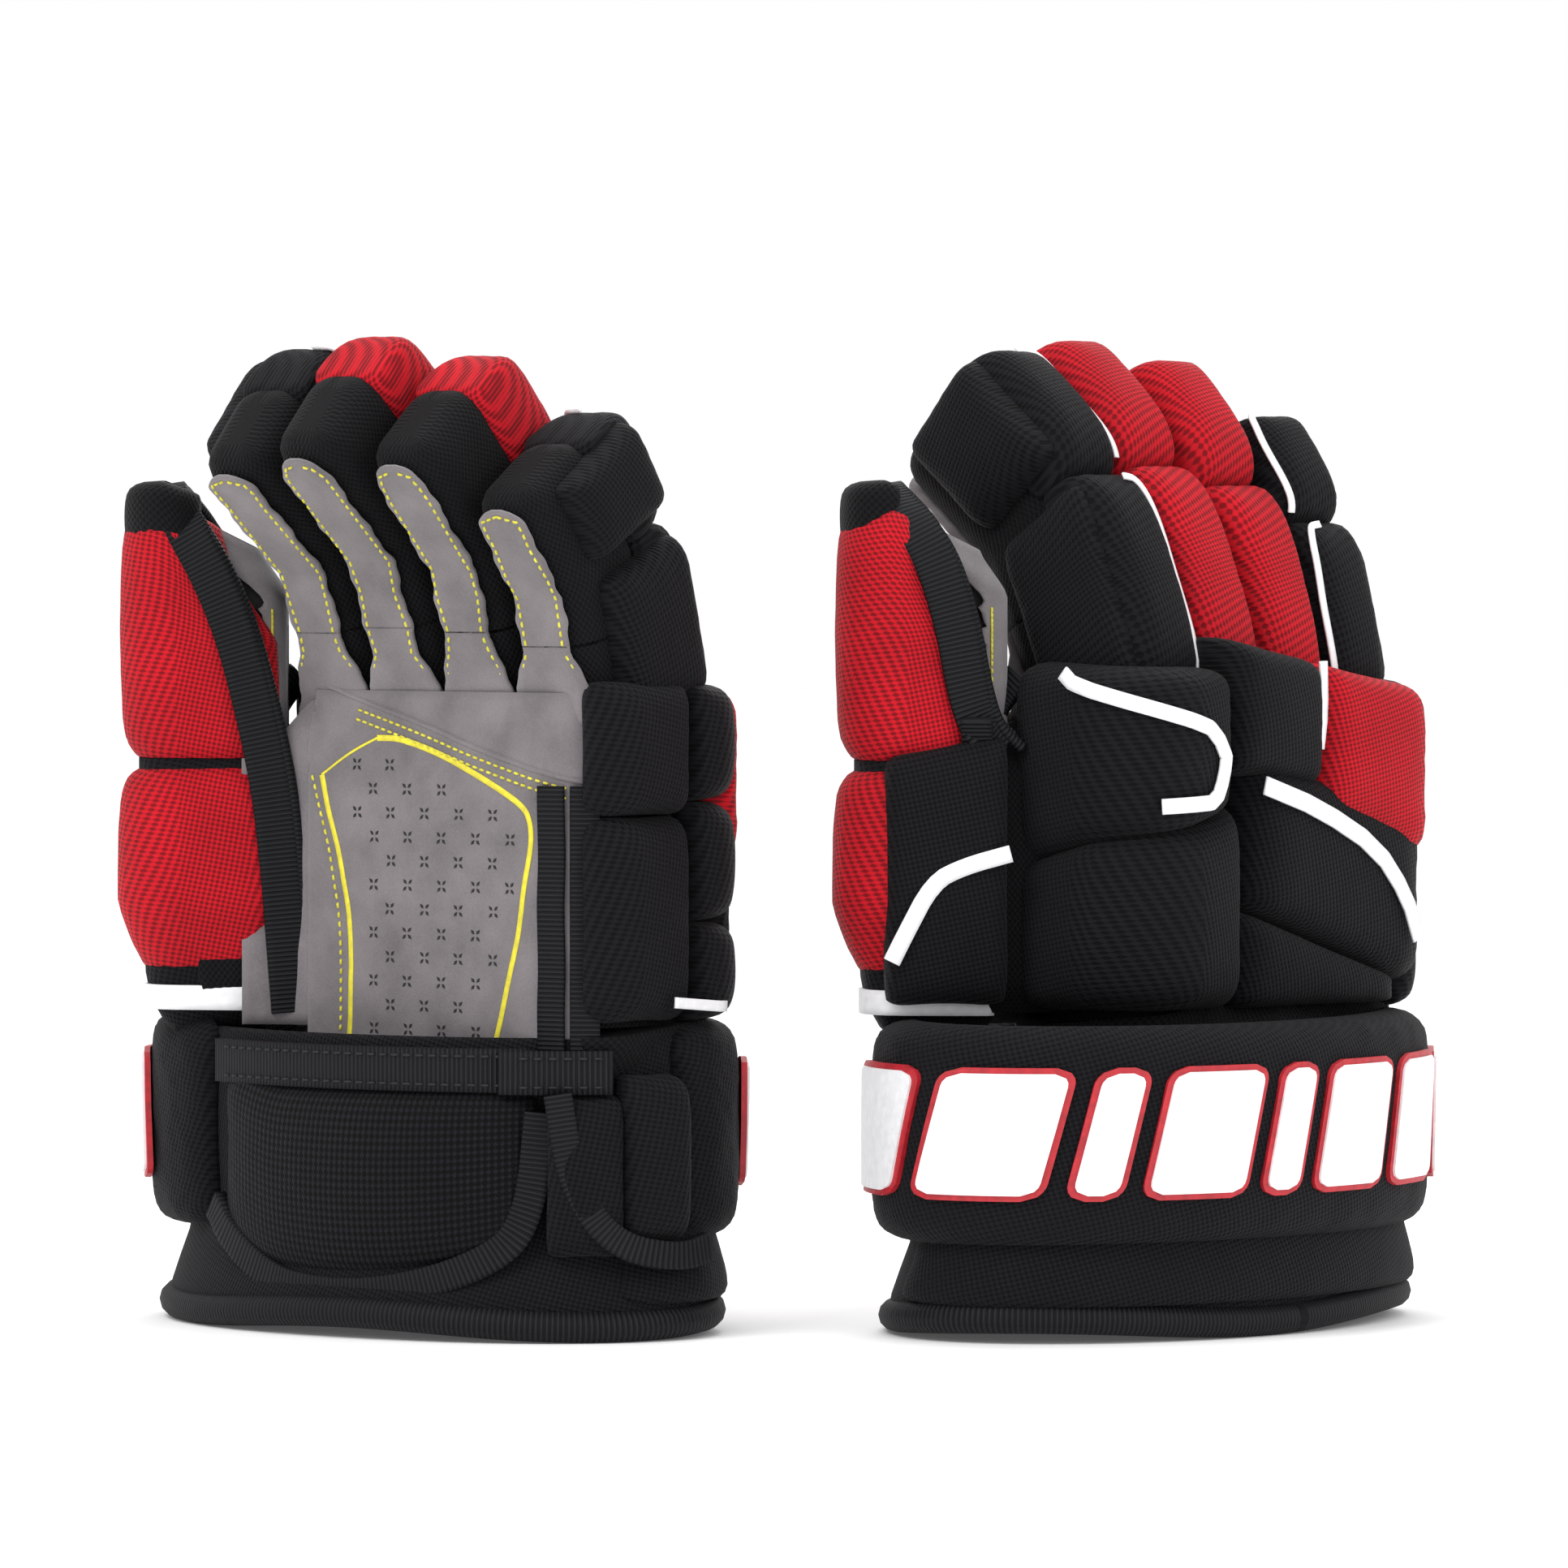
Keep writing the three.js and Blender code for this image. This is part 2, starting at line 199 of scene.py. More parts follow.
def nappy(name, light, dark):
    """Brushed suede or fleece: short nap with soft blotches."""
    material = new_material(name)
    blotch = cloud(material, 60, 5.0)
    fibre = cloud(material, 1600, 3.0)
    both = add(material, "Math", {1: 0.45}, {0: fibre.outputs[0], 2: blotch.outputs[0]},
               operation="MULTIPLY_ADD")
    factor = spread(material, both.outputs[0], 0.45, 1.0)
    color = blend_colors(material, factor, dark, light)
    bump = add(material, "Bump", {"Strength": 0.35, "Distance": 0.0004}, {"Height": fibre.outputs[0]})
    return finish_material(material, color.outputs[0], 0.95, bump.outputs[0],
                           Sheen_Weight=0.25, Sheen_Roughness=0.6, Specular_IOR_Level=0.15)


def coated(name, light, dark, roughness):
    """Smooth synthetic leather or print, a little uneven."""
    material = new_material(name)
    tone = cloud(material, 350, 4.0)
    factor = spread(material, tone.outputs[0], 0.3, 0.75)
    color = blend_colors(material, factor, dark, light)
    bump = add(material, "Bump", {"Strength": 0.2, "Distance": 0.0003}, {"Height": tone.outputs[0]})
    return finish_material(material, color.outputs[0], roughness, bump.outputs[0])


# Every cloth and the ribs of the tape are drawn coarser than real, 1.5 to 2.8 mm instead of
# about 1 to 2 mm, so that they still show from where the pair fills the view.

# Woven nylon shell over foam: a dull grid of raised dots, red or nearly black.
red_shell = textile("woven nylon, red", "#BE1522", "#760D16", 2.1, 0.35, turn=33)
black_shell = textile("woven nylon, black", "#121216", "#020203", 2.2, 0.45, turn=33)
# Stretch knit on the finger sides and ends, and on the roll: soft rows of dark dimples.
gusset_knit = textile("dimpled knit, black", "#0F0F12", "#020203", 1.9, 0.4, turn=0, stretch=0.8)
roll_knit = textile("honeycomb knit, black", "#131318", "#030304", 2.1, 0.45, turn=30)
# Air mesh of the palm flap: wide open holes between thin threads.
air_mesh = textile("air mesh, black", "#17171C", "#010102", 2.8, 0.7, open_at=0.05)
# Palm suede and liner fleece: a matt nap with cloudy patches.
grey_suede = nappy("brushed suede, grey", "#7C7678", "#5E595B")
dark_fleece = nappy("liner fleece, black", "#19191C", "#0C0C0E")
# Binding tape: a black with fine ribs that catch the light.
rib_tape = ribbed("grosgrain tape, black", "#1E1F22", "#09090B", 1.5)
# Coated trim: smooth and slightly glossy, bright against the cloth.
white_trim = coated("coated piping, white", "#F1F1F3", "#E4E4E7", 0.4)
red_trim = coated("coated piping, red", "#C21E2B", "#9C1722", 0.5)
# Sewing thread and the rubber print on the palm: flat colours without a shine.
yellow_thread = coated("thread, yellow", "#E2DA4A", "#B9B02C", 0.7)
black_thread = coated("thread, black", "#141416", "#060607", 0.7)
yellow_print = coated("rubber print, yellow", "#EBDF35", "#C9BD3A", 0.75)

# ---- Places --------------------------------------------------------------------------
# Each glove has its own frame in millimetres: the palm faces -Y, the thumb is towards -X
# and the cuff stands on Z 0. The right glove is the mirror image of the left one.

joints = {joint["name"]: joint for joint in frame["record"]["behaviour"]["joints"]}
SIDES = ("left", "right")

# Where the wrist turns, in the glove's frame.
WRIST_PIVOT = Vector((0, -33.3, 99))


def glove_matrix(side):
    """The glove's place in the shared frame, from its wrist joint's axis and pivot."""
    wrist = joints[f"{side}_wrist_bend"]
    sign = 1 if side == "left" else -1
    across = Vector(wrist["axis"]) * sign
    depth = Vector((0, 0, 1)).cross(across) * sign
    turn = Matrix((across, depth, Vector((0, 0, 1)))).transposed() * 0.001
    matrix = turn.to_4x4()
    matrix.translation = Vector(wrist["pos_m"]) - turn @ WRIST_PIVOT
    return matrix


glove_at = {side: glove_matrix(side) for side in SIDES}


def outline_host(points):
    """Turns a closed outline into a surface: (s, t, h) is s millimetres along the outline from
    its first point, t up, and h out from it."""
    count = len(points)
    ring = [Vector(point) for point in points] + [Vector(points[0])]
    steps = [(ring[i + 1] - ring[i]).length for i in range(count)]
    total = sum(steps)
    marks = [0.0]
    for step in steps:
        marks.append(marks[-1] + step)
    normals = []
    for i in range(count):
        before = ring[i - 1 if i else count - 1]
        tangent = (ring[i + 1] - ring[i]).normalized() + (ring[i] - before).normalized()
        normals.append(Vector((-tangent.y, tangent.x)).normalized())
    normals.append(normals[0])

    def host(s, t, h):
        s = s % total
        low, high = 0, count
        while high - low > 1:
            middle = (low + high) // 2
            if marks[middle] <= s:
                low = middle
            else:
                high = middle
        share = (s - marks[low]) / max(steps[low], 1e-9)
        place = ring[low].lerp(ring[low + 1], share)
        normal = normals[low].lerp(normals[low + 1], share).normalized()
        return Vector((place.x + normal.x * h, place.y + normal.y * h, t))

    host.length = total
    return host


def rounded_outline(left, right, front, back, corner):
    """A rounded rectangle, clockwise from the middle of its back."""
    steps = 6
    points = [((left + right) / 2, back)]
    corners = (
        (right - corner, back - corner, 90), (right - corner, front + corner, 0),
        (left + corner, front + corner, -90), (left + corner, back - corner, -180),
    )
    for x, y, start in corners:
        for i in range(steps + 1):
            angle = math.radians(start - 90 * i / steps)
            points.append((x + corner * math.cos(angle), y + corner * math.sin(angle)))
    return points


def ellipse_outline(half_width, half_depth):
    """An ellipse, clockwise from the middle of its back."""
    steps = 72
    turns = [2 * math.pi * i / steps for i in range(steps)]
    return [(half_width * math.sin(a), half_depth * math.cos(a)) for a in turns]


def flat_area(faces, uvs):
    """The area of a sheet before it was sewn on: its UV map holds both of its faces, laid flat."""
    total = 0.0
    for face in faces:
        corners = [uvs[i] for i in face]
        total += abs(sum(a[0] * b[1] - b[0] * a[1] for a, b in zip(corners, corners[1:] + corners[:1]))) / 2
    return total / 2


def make_piece(name, side, verts, faces, uvs, material, body, nodes=(), fill=None, blend_to=None, smooth=True,
               sheet_on=None):
    """Puts a mesh given in the glove's frame into the scene. uvs holds one (u, v) per vertex,
    in millimetres. nodes are the CAD nodes that it replaces. Without blend_to the piece goes on
    its body; blend_to is the other body of a joint and two places, and with it the piece is only
    baked into the shared frame and put on no body."""
    mesh = bpy.data.meshes.new(f"{side}_{name}")
    mesh.from_pydata([tuple(v) for v in verts], [], faces)
    layer = mesh.uv_layers.new(name="UVMap")
    for loop in mesh.loops:
        layer.data[loop.index].uv = uvs[loop.vertex_index]
    mesh.transform(glove_at[side])
    work = bmesh.new()
    work.from_mesh(mesh)
    bmesh.ops.remove_doubles(work, verts=work.verts, dist=2e-6)
    bmesh.ops.recalc_face_normals(work, faces=work.faces)
    work.to_mesh(mesh)
    work.free()
    if smooth:
        mesh.polygons.foreach_set("use_smooth", [True] * len(mesh.polygons))
    mesh.materials.append(material)
    piece = bpy.data.objects.new(f"{side}_{name}", mesh)
    bpy.context.scene.collection.objects.link(piece)
    if blend_to:
        other, start, end = blend_to
        start, end = (glove_at[side] @ Vector(place) for place in (start, end))
        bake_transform(piece)
        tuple(start)
        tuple(end)
    else:
        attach(piece, f"{side}_{body}")
    if nodes:
        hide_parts(*[f"{side}_{node}" for node in nodes])
    if sheet_on:
        width, length = (max(uv[k] for uv in uvs) - min(uv[k] for uv in uvs) for k in (0, 1))
        flat_area(faces, uvs) / 1e6
    return piece


def grid_faces(rows, columns, wrap=False, offset=0):
    """Quads between the rows of a grid; wrap also joins the last column to the first."""
    faces = []
    for r in range(rows - 1):
        for c in range(columns if wrap else columns - 1):
            d = (c + 1) % columns
            faces.append((offset + r * columns + c, offset + r * columns + d,
                          offset + (r + 1) * columns + d, offset + (r + 1) * columns + c))
    return faces


def merge_shapes(shapes):
    """Several (verts, faces, uvs) as one."""
    verts, faces, uvs = [], [], []
    for more_verts, more_faces, more_uvs in shapes:
        base = len(verts)
        verts += more_verts
        uvs += more_uvs
        faces += [tuple(base + i for i in face) for face in more_faces]
    return verts, faces, uvs


# ---- Padded blocks -------------------------------------------------------------------
# A pad is foam in a sewn shell: crowned in the middle, pinched at its seams, its sides
# drawn in a little between the corners, with soft puckers along the seams.

RIM_ROUNDNESS = 0.42
CORNER_TUCK = 0.06


def rim(a, flat):
    """A pad's rounded fall to its seam at a = 1 or -1. A higher flat keeps it level further out."""
    return max(1 - abs(a) ** flat, 0) ** RIM_ROUNDNESS


def pad_shape(host, s0, s1, t0, t1, thickness, across, along, crown, flat, pull=0.03, skew=(0, 0, 0, 0),
              sink=0.0, pucker=0.5, seed=0.0):
    """A pad over s0..s1 and t0..t1 of a surface. skew moves its corners along t, in millimetres,
    in the order s0t0, s1t0, s1t1, s0t1. pull draws its sides in and sink lowers its underside."""
    half_s, half_t = (s1 - s0) / 2, (t1 - t0) / 2
    mid_s, mid_t = (s0 + s1) / 2, (t0 + t1) / 2

    verts, uvs = [], []
    for is_top in (True, False):
        for j in range(along + 1):
            v = math.sin(math.pi / 2 * (2 * j / along - 1))
            for i in range(across + 1):
                u = math.sin(math.pi / 2 * (2 * i / across - 1))
                s = mid_s + half_s * u * (1 - pull * (1 - v * v) - CORNER_TUCK * abs(v) ** 8)
                t = mid_t + half_t * v * (1 - pull * (1 - u * u) - CORNER_TUCK * abs(u) ** 8)
                p, q = (u + 1) / 2, (v + 1) / 2
                t += (skew[0] * (1 - p) * (1 - q) + skew[1] * p * (1 - q)
                      + skew[2] * p * q + skew[3] * (1 - p) * q)
                h = -sink
                if is_top:
                    edge = max(abs(u), abs(v)) ** 4
                    h = thickness * (1 - crown + crown * (1 - u * u) * (1 - v * v))
                    h += pucker * (0.4 + edge) * noise.noise(Vector((s, t, seed)) * 0.11)
                    h += pucker * 0.5 * edge * math.sin((s + t) * 0.9 + seed)
                verts.append(host(s, t, h * rim(u, flat) * rim(v, flat)))
                uvs.append((s, t))
    rows, columns = along + 1, across + 1
    top = grid_faces(rows, columns)
    bottom = [face[::-1] for face in grid_faces(rows, columns, offset=rows * columns)]
    return verts, top + bottom, uvs


def pad_line(host, s0, s1, t0, t1, thickness, crown, flat, marks):
    """A line over a pad's surface through marks (u, v), each -1 to 1, as (place, outward, distance)."""
    lift = 0.3
    found, run = [], 0.0
    for u, v in smooth_route(marks, 3):
        height = thickness * (1 - crown + crown * (1 - u * u) * (1 - v * v))
        h = height * rim(u, flat) * rim(v, flat) + lift
        s, t = (s0 + s1) / 2 + (s1 - s0) / 2 * u, (t0 + t1) / 2 + (t1 - t0) / 2 * v
        place = host(s, t, h)
        if found:
            run += (place - found[-1][0]).length
        slant = 0.8 * u ** 5
        outward = (host(s, t, h + 1) - place + (host(s + 1, t, h) - place) * slant).normalized()
        found.append((place, outward, run))
    return found


def line_points(host, route, h, step=2.0):
    """Points every step millimetres along a route of (s, t) on a surface, at height h, with
    the surface's outward direction and the distance along."""

    def station(mark, distance):
        place = host(mark.x, mark.y, h)
        return place, host(mark.x, mark.y, h + 1) - place, distance

    marks = [Vector(mark) for mark in route]
    found, run = [], 0.0
    for a, b in zip(marks, marks[1:]):
        length = (b - a).length
        count = max(1, round(length / step))
        found += [station(a.lerp(b, k / count), run + length * k / count) for k in range(count)]
        run += length
    return found + [station(marks[-1], run)]


def smooth_route(route, rounds=2):
    """Rounds the corners of a route of points."""
    points = [Vector(p) for p in route]
    for _ in range(rounds):
        result = [points[0]]
        for a, b in zip(points, points[1:]):
            result += [a.lerp(b, 0.25), a.lerp(b, 0.75)]
        points = result + [points[-1]]
    return [tuple(p) for p in points]


def across_line(along, outward):
    """The direction across a line on a surface, and the one out from the surface."""
    side = along.cross(outward).normalized()
    return side, side.cross(along).normalized()


def cord_shape(points, radius, sides=8, closed=False):
    """A round cord through points of (place, outward, distance)."""
    verts, uvs = [], []
    count = len(points)
    for k, (place, outward, run) in enumerate(points):
        after = points[(k + 1) % count][0] if closed or k < count - 1 else place
        before = points[k - 1][0] if closed or k else place
        along = (after - before).normalized()
        side, up = across_line(along, outward)
        for i in range(sides):
            angle = 2 * math.pi * i / sides
            verts.append(place + (side * math.cos(angle) + up * math.sin(angle)) * radius)
            uvs.append((radius * angle, run))
    faces = grid_faces(count, sides, wrap=True)
    end = (count - 1) * sides
    if closed:
        faces += [(end + i, end + (i + 1) % sides, (i + 1) % sides, i) for i in range(sides)]
    else:
        faces += [tuple(range(sides))[::-1], tuple(end + i for i in range(sides))]
    return verts, faces, uvs


def tape_shape(points, width, thickness, columns):
    """A flat tape through points of (place, outward, distance), with soft edges. width may be
    a function of the distance."""
    verts, uvs = [], []
    count = len(points)
    for k, (place, outward, run) in enumerate(points):
        after = points[min(k + 1, count - 1)][0]
        before = points[max(k - 1, 0)][0]
        along = (after - before).normalized()
        side, up = across_line(along, outward)
        half = width(run) / 2 if callable(width) else width / 2
        top = [(half * (2 * i / columns - 1) * 0.97, thickness) for i in range(columns + 1)]
        section = [(-half, 0.0), *top, (half, 0.0)]
        for x, y in section:
            verts.append(place + side * x + up * y)
            uvs.append((x, run))
    wide = columns + 3
    faces = grid_faces(count, wide, wrap=True)
    faces += [tuple(range(wide))[::-1], tuple((count - 1) * wide + i for i in range(wide))]
    return verts, faces, uvs


def stitch_shape(points, pitch=3.0, length=1.9):
    """Dashes of thread along a line of (place, outward, distance)."""
    radius = 0.45
    shapes = []
    total = points[-1][2]
    at = pitch / 2
    index = 0
    while at + length / 2 < total:
        while index < len(points) - 2 and points[index + 1][2] < at:
            index += 1
        place, outward, run = points[index]
        after = points[index + 1]
        share = (at - run) / max(after[2] - run, 1e-6)
        middle = place.lerp(after[0], share)
        along = (after[0] - place).normalized()
        side, up = across_line(along, outward)
        verts = []
        # Each dash is a hexagonal rod that narrows and dips into the cloth at both ends.
        for x, wide, lift in ((-0.5, 0.55, -0.3), (-0.3, 1.0, 0.25), (0.3, 1.0, 0.25), (0.5, 0.55, -0.3)):
            for i in range(6):
                angle = math.pi / 3 * i
                verts.append(middle + along * (x * length) + side * (math.cos(angle) * radius * wide)
                             + up * (math.sin(angle) * radius * wide + lift * radius))
        faces = grid_faces(4, 6, wrap=True) + [tuple(range(6))[::-1], tuple(range(18, 24))]
        shapes.append((verts, faces, [(0.0, 0.0)] * len(verts)))
        at += pitch
    return merge_shapes(shapes)


def sew(name, side, points, body, **joint):
    """Yellow stitches along a line of points."""
    make_piece(f"{name}_stitches", side, *stitch_shape(points), yellow_thread, body, **joint)


# ---- Fingers -------------------------------------------------------------------------
# Each finger is a knit tube over the liner. A grey suede strip, held by two rows of stitches,
# covers its palm side, and two padded blocks are sewn on its back. It bends at the knuckle
# and at the middle joint, and the knit and the suede run over both bends.

FINGER_DEPTH = 37.0
FINGER_HALF = 14.5
FINGER_PAD = 22
STRIP_WIDTH = 19.5
# Each finger's bend at rest, in degrees, at the knuckle and at the middle joint.
FINGER_BENDS = {"index": (22, 28), "middle": (22, 26), "ring": (18, 24), "little": (14, 22)}
# Each finger's length beyond the middle joint.
FINGER_UPPER = {"index": 50.0, "middle": 50.0, "ring": 46.0, "little": 36.0}
FINGER_SHELLS = {"index": black_shell, "middle": red_shell, "ring": red_shell, "little": black_shell}
# The piping's way over a block: across its far end and down one long edge.
PIPING_MARKS = ((0.3, 0.86), (0.76, 0.84), (0.84, 0.4), (0.84, -0.5), (0.8, -0.88))


def ease(value):
    """Rises smoothly from 0 to 1 as the value does."""
    value = min(max(value, 0), 1)
    return value * value * (3 - 2 * value)


def finger_space(name):
    """A finger's place in the glove's frame: (x across, depth from the palm side, t along)."""
    inverse = glove_at["left"].inverted()
    knuckle = inverse @ Vector(joints[f"left_{name}_knuckle"]["pos_m"])
    middle = inverse @ Vector(joints[f"left_{name}_middle_joint"]["pos_m"])
    lower = (middle - knuckle).length
    bend_low, bend_high = (math.radians(a) for a in FINGER_BENDS[name])
    first = Vector((0, -math.sin(bend_low), math.cos(bend_low)))
    second = Vector((0, -math.sin(bend_low + bend_high), math.cos(bend_low + bend_high)))
    soft = 15.0

    def place(x, depth, t):
        if t < 0:
            base = knuckle + Vector((0, 0, t))
        elif t < lower:
            base = knuckle + first * t
        else:
            base = middle + second * (t - lower)
        turn = bend_low * ease((t + soft) / (2 * soft)) + bend_high * ease((t - lower + soft) / (2 * soft))
        return base + Vector((x, depth * math.cos(turn), depth * math.sin(turn)))

    place.lower = lower
    return place


def finger_host(place, half, depth, corner):
    """The finger's skin: s around it from the middle of its back, t along, h out."""
    section = outline_host(rounded_outline(-half, half, 0, depth, corner))

    def host(s, t, h):
        point = section(s, 0, h)
        return place(point.x, point.y, t)

    host.length = section.length
    return host


def tube_shape(host, t_values, shrink=None, around=32, h=0.0):
    """A tube around a surface from the first t to the last, closed at its ends. shrink draws it
    in, with one distance for each t."""
    verts, uvs = [], []
    for k, t in enumerate(t_values):
        for i in range(around):
            s = host.length * i / around
            verts.append(host(s, t, h - (shrink[k] if shrink else 0)))
            uvs.append((s, t))
    faces = grid_faces(len(t_values), around, wrap=True)
    faces += [tuple(range(around))[::-1], tuple((len(t_values) - 1) * around + i for i in range(around))]
    return verts, faces, uvs


def build_finger(side, name):
    place = finger_space(name)
    lower, upper = place.lower, FINGER_UPPER[name]
    end = lower + upper
    half_way = lower * 0.5
    host = finger_host(place, FINGER_HALF - 0.6, FINGER_DEPTH, 10)
    body_low, body_high = f"{name}_lower", f"{name}_upper"
    knuckle_bend = (body_low, place(0, 15, -8), place(0, 15, 12))
    middle_bend = (body_high, place(0, 15, lower - 9), place(0, 15, lower + 9))
    shell = FINGER_SHELLS[name]

    # Knit tube: the lower half spans the knuckle, the upper half the middle joint.
    low = tube_shape(host, [-12 + (half_way + 12) * i / 14 for i in range(15)])
    make_piece(f"{name}_lower_sleeve", side, *low, gusset_knit, "hand", [f"{name}_mid_stall"],
               blend_to=knuckle_bend)
    stations = [half_way - 1 + (end - 7 - half_way) * i / 20 for i in range(21)]
    shrinks = [0.0] * 21
    round_end = ((end - 4, 1.2), (end - 1.5, 3.2), (end, 6.5), (end + 0.4, 10.0))
    for t, inward in round_end:
        stations.append(t)
        shrinks.append(inward)
    high = tube_shape(host, stations, shrinks)
    make_piece(f"{name}_upper_sleeve", side, *high, gusset_knit, body_low, [f"{name}_tip_stall"],
               blend_to=middle_bend)

    # Suede strip on the palm side, cut to a wavy edge with a round end.
    def front(s, t, h):
        edge = abs(s) / FINGER_HALF
        return place(s, -0.5 - h + 2.2 * min(edge, 1.2) ** 4, t)

    last = end - 2

    def strip_width(t):
        wave = 1.2 * math.sin(t * 0.33 + len(name)) + 0.6 * math.sin(t * 0.83)
        root = 11 * (1 - ease((t + 2) / 20))
        tip = math.sqrt(max(1 - max((t - last + 9) / 9.2, 0) ** 2, 0.02))
        return (STRIP_WIDTH + root + wave) * tip

    low_line = line_points(front, [(0, -9), (0, half_way + 0.5)], 0.0)
    low_strip = tape_shape(low_line, lambda run: strip_width(run - 9), 1.1, 8)
    make_piece(f"{name}_lower_strip", side, *low_strip, grey_suede, "hand", blend_to=knuckle_bend,
               sheet_on=f"{name}_lower_sleeve")
    high_line = line_points(front, [(0, half_way), (0, last)], 0.0, 1.0)
    high_strip = tape_shape(high_line, lambda run: strip_width(run + half_way), 1.1, 8)
    make_piece(f"{name}_upper_strip", side, *high_strip, grey_suede, body_low, blend_to=middle_bend,
               sheet_on=f"{name}_upper_sleeve")
    low_marks = (0, 5, 10, 15, half_way)
    high_marks = (half_way, half_way + 12, half_way + 24, last - 14, last - 8, last - 4)
    for sign, word in ((-1, "inner"), (1, "outer")):
        low_route = [(sign * (strip_width(t) / 2 - 1.9), t) for t in low_marks]
        low_row = line_points(front, low_route, 1.3, 1.0)
        sew(f"{name}_lower_{word}", side, low_row, "hand", blend_to=knuckle_bend)
        high_route = [(sign * (strip_width(t) / 2 - 1.9), t) for t in high_marks] + [(0, last - 1.8)]
        high_row = line_points(front, high_route, 1.3, 1.0)
        sew(f"{name}_upper_{word}", side, high_row, body_low, blend_to=middle_bend)

    # Padded blocks on the back, a pair more on the outer faces of the first and last finger.
    def back(s, t, h):
        return place(s, FINGER_DEPTH + h, t)

    outward = -1 if name == "index" else 1

    def outer_face(s, t, h):
        return place(outward * (FINGER_HALF - 1 + h), s, t)

    half = FINGER_HALF + 0.4
    crown, flat = 0.1, 6
    spans = (
        ("middle", -9, lower + 3, body_low, "mid_pad"),
        ("tip", lower + 1, end - 1, body_high, "tip_pad"),
    )
    for index, (word, t0, t1, body, node) in enumerate(spans):
        block = pad_shape(back, -half, half, t0, t1, FINGER_PAD, 24, 26, crown, flat, pull=0.015, sink=7,
                          seed=len(name) + 4 * index)
        make_piece(f"{name}_{word}_block", side, *block, shell, body, [f"{name}_{node}"], fill=0.9)
        if shell is black_shell:
            marks = [(-outward * u, v) for u, v in PIPING_MARKS]
            line = pad_line(back, -half, half, t0, t1, FINGER_PAD, crown, flat, marks)
            make_piece(f"{name}_{word}_piping", side, *tape_shape(line, 2.4, 0.8, 3), white_trim, body)
            # The index finger's lower block is thin, to leave the thumb room.
            thick = 6 if (name, word) == ("index", "middle") else 11
            face = pad_shape(outer_face, 12, FINGER_DEPTH + 14, t0 + 4, t1 - 3, thick, 20, 20, 0.12, 7,
                             sink=4, seed=9 + index)
            make_piece(f"{name}_{word}_face_block", side, *face, black_shell, body, fill=0.9)


for side in SIDES:
    for finger_name in FINGER_BENDS:
        build_finger(side, finger_name)


# ---- Palm ----------------------------------------------------------------------------
# Grey suede covers the palm and the thumb's root, with a yellow printed outline and rows
# of small cross-shaped vents. A seam with two rows of yellow stitches crosses it under the
# fingers, and grosgrain bindings run down its outer edge.

# The palm seen from above, as (x, y): flat in the middle and turned out to the thumb.
PALM_LINE = ((-60, -55.5), (-49, -47), (-39.5, -39.5), (-31, -34.2), (-20, -33.0), (0, -33.6), (40, -34.0),
             (72, -34.0), (82, -32.2), (88, -27.5), (91, -20))


def palm_depth(x):
    """The palm's y at x, along straight stretches."""
    index = 0
    while index < len(PALM_LINE) - 2 and PALM_LINE[index + 1][0] < x:
        index += 1
    x0, y0 = PALM_LINE[index]
    x1, y1 = PALM_LINE[index + 1]
    return y0 + (y1 - y0) * (x - x0) / (x1 - x0)


def lean_back(z):
    """How far the palm lies back below the fingers."""
    return 4.0 * ease((z - 183) / 20)


def palm(x, z, h):
    """The palm's surface: x across the glove, z up, h out from it."""
    reach = 4.0
    samples = [palm_depth(x + d * reach) for d in (-1, -0.5, 0, 0.5, 1)]
    depth = sum(samples) / len(samples)
    slope = (samples[-1] - samples[0]) / (2 * reach)
    normal = Vector((slope, -1, 0)).normalized()
    wrinkle = 0.7 * noise.noise(Vector((x * 0.045, z * 0.06, 3.0)))
    place = Vector((x, depth, z)) + normal * (h + wrinkle)
    place.y += lean_back(z)
    return place


WEB_TOP = 181


def web_rise(x, z):
    """How far the web between thumb and palm climbs towards the index finger."""
    return 19 * ease((z - 150) / (WEB_TOP - 150)) * ease((x + 44) / 18)


def panel_shape(host, s_range, t_range, columns, rows, thickness, edge=None):
    """A sheet with thickness over part of a surface. edge(s share, t share, s, t) may give each
    point another place."""
    verts, uvs = [], []
    for layer in (1, 0):
        for j in range(rows + 1):
            for i in range(columns + 1):
                p, q = i / columns, j / rows
                s = s_range[0] + (s_range[1] - s_range[0]) * p
                t = t_range[0] + (t_range[1] - t_range[0]) * q
                if edge:
                    s, t = edge(p, q, s, t)
                verts.append(host(s, t, thickness * layer))
                uvs.append((s, t))
    wide, high = columns + 1, rows + 1
    count = wide * high
    faces = grid_faces(high, wide) + [f[::-1] for f in grid_faces(high, wide, offset=count)]
    border = list(range(wide)) + [r * wide + columns for r in range(1, high)]
    border += [rows * wide + c for c in range(columns - 1, -1, -1)]
    border += [r * wide for r in range(rows - 1, 0, -1)]
    for a, b in zip(border, border[1:] + border[:1]):
        faces.append((a, b, count + b, count + a))
    return verts, faces, uvs


# The printed outline, from the wrist up the thumb side and down the outer side.
PRINT_THICK = [(-9, 93), (-7.5, 125), (-12, 148), (-17, 162), (-21, 176)]
PRINT_THIN = [(-21, 176), (-9, 183), (3, 188)]
PRINT_OUTER = [(3, 188), (14, 188), (35, 182), (62, 170), (70, 163), (66, 140), (61, 117), (54, 94)]
SEAM_UNDER_FINGERS = [(-24, 205), (-8, 200), (20, 193), (50, 184), (86, 175)]


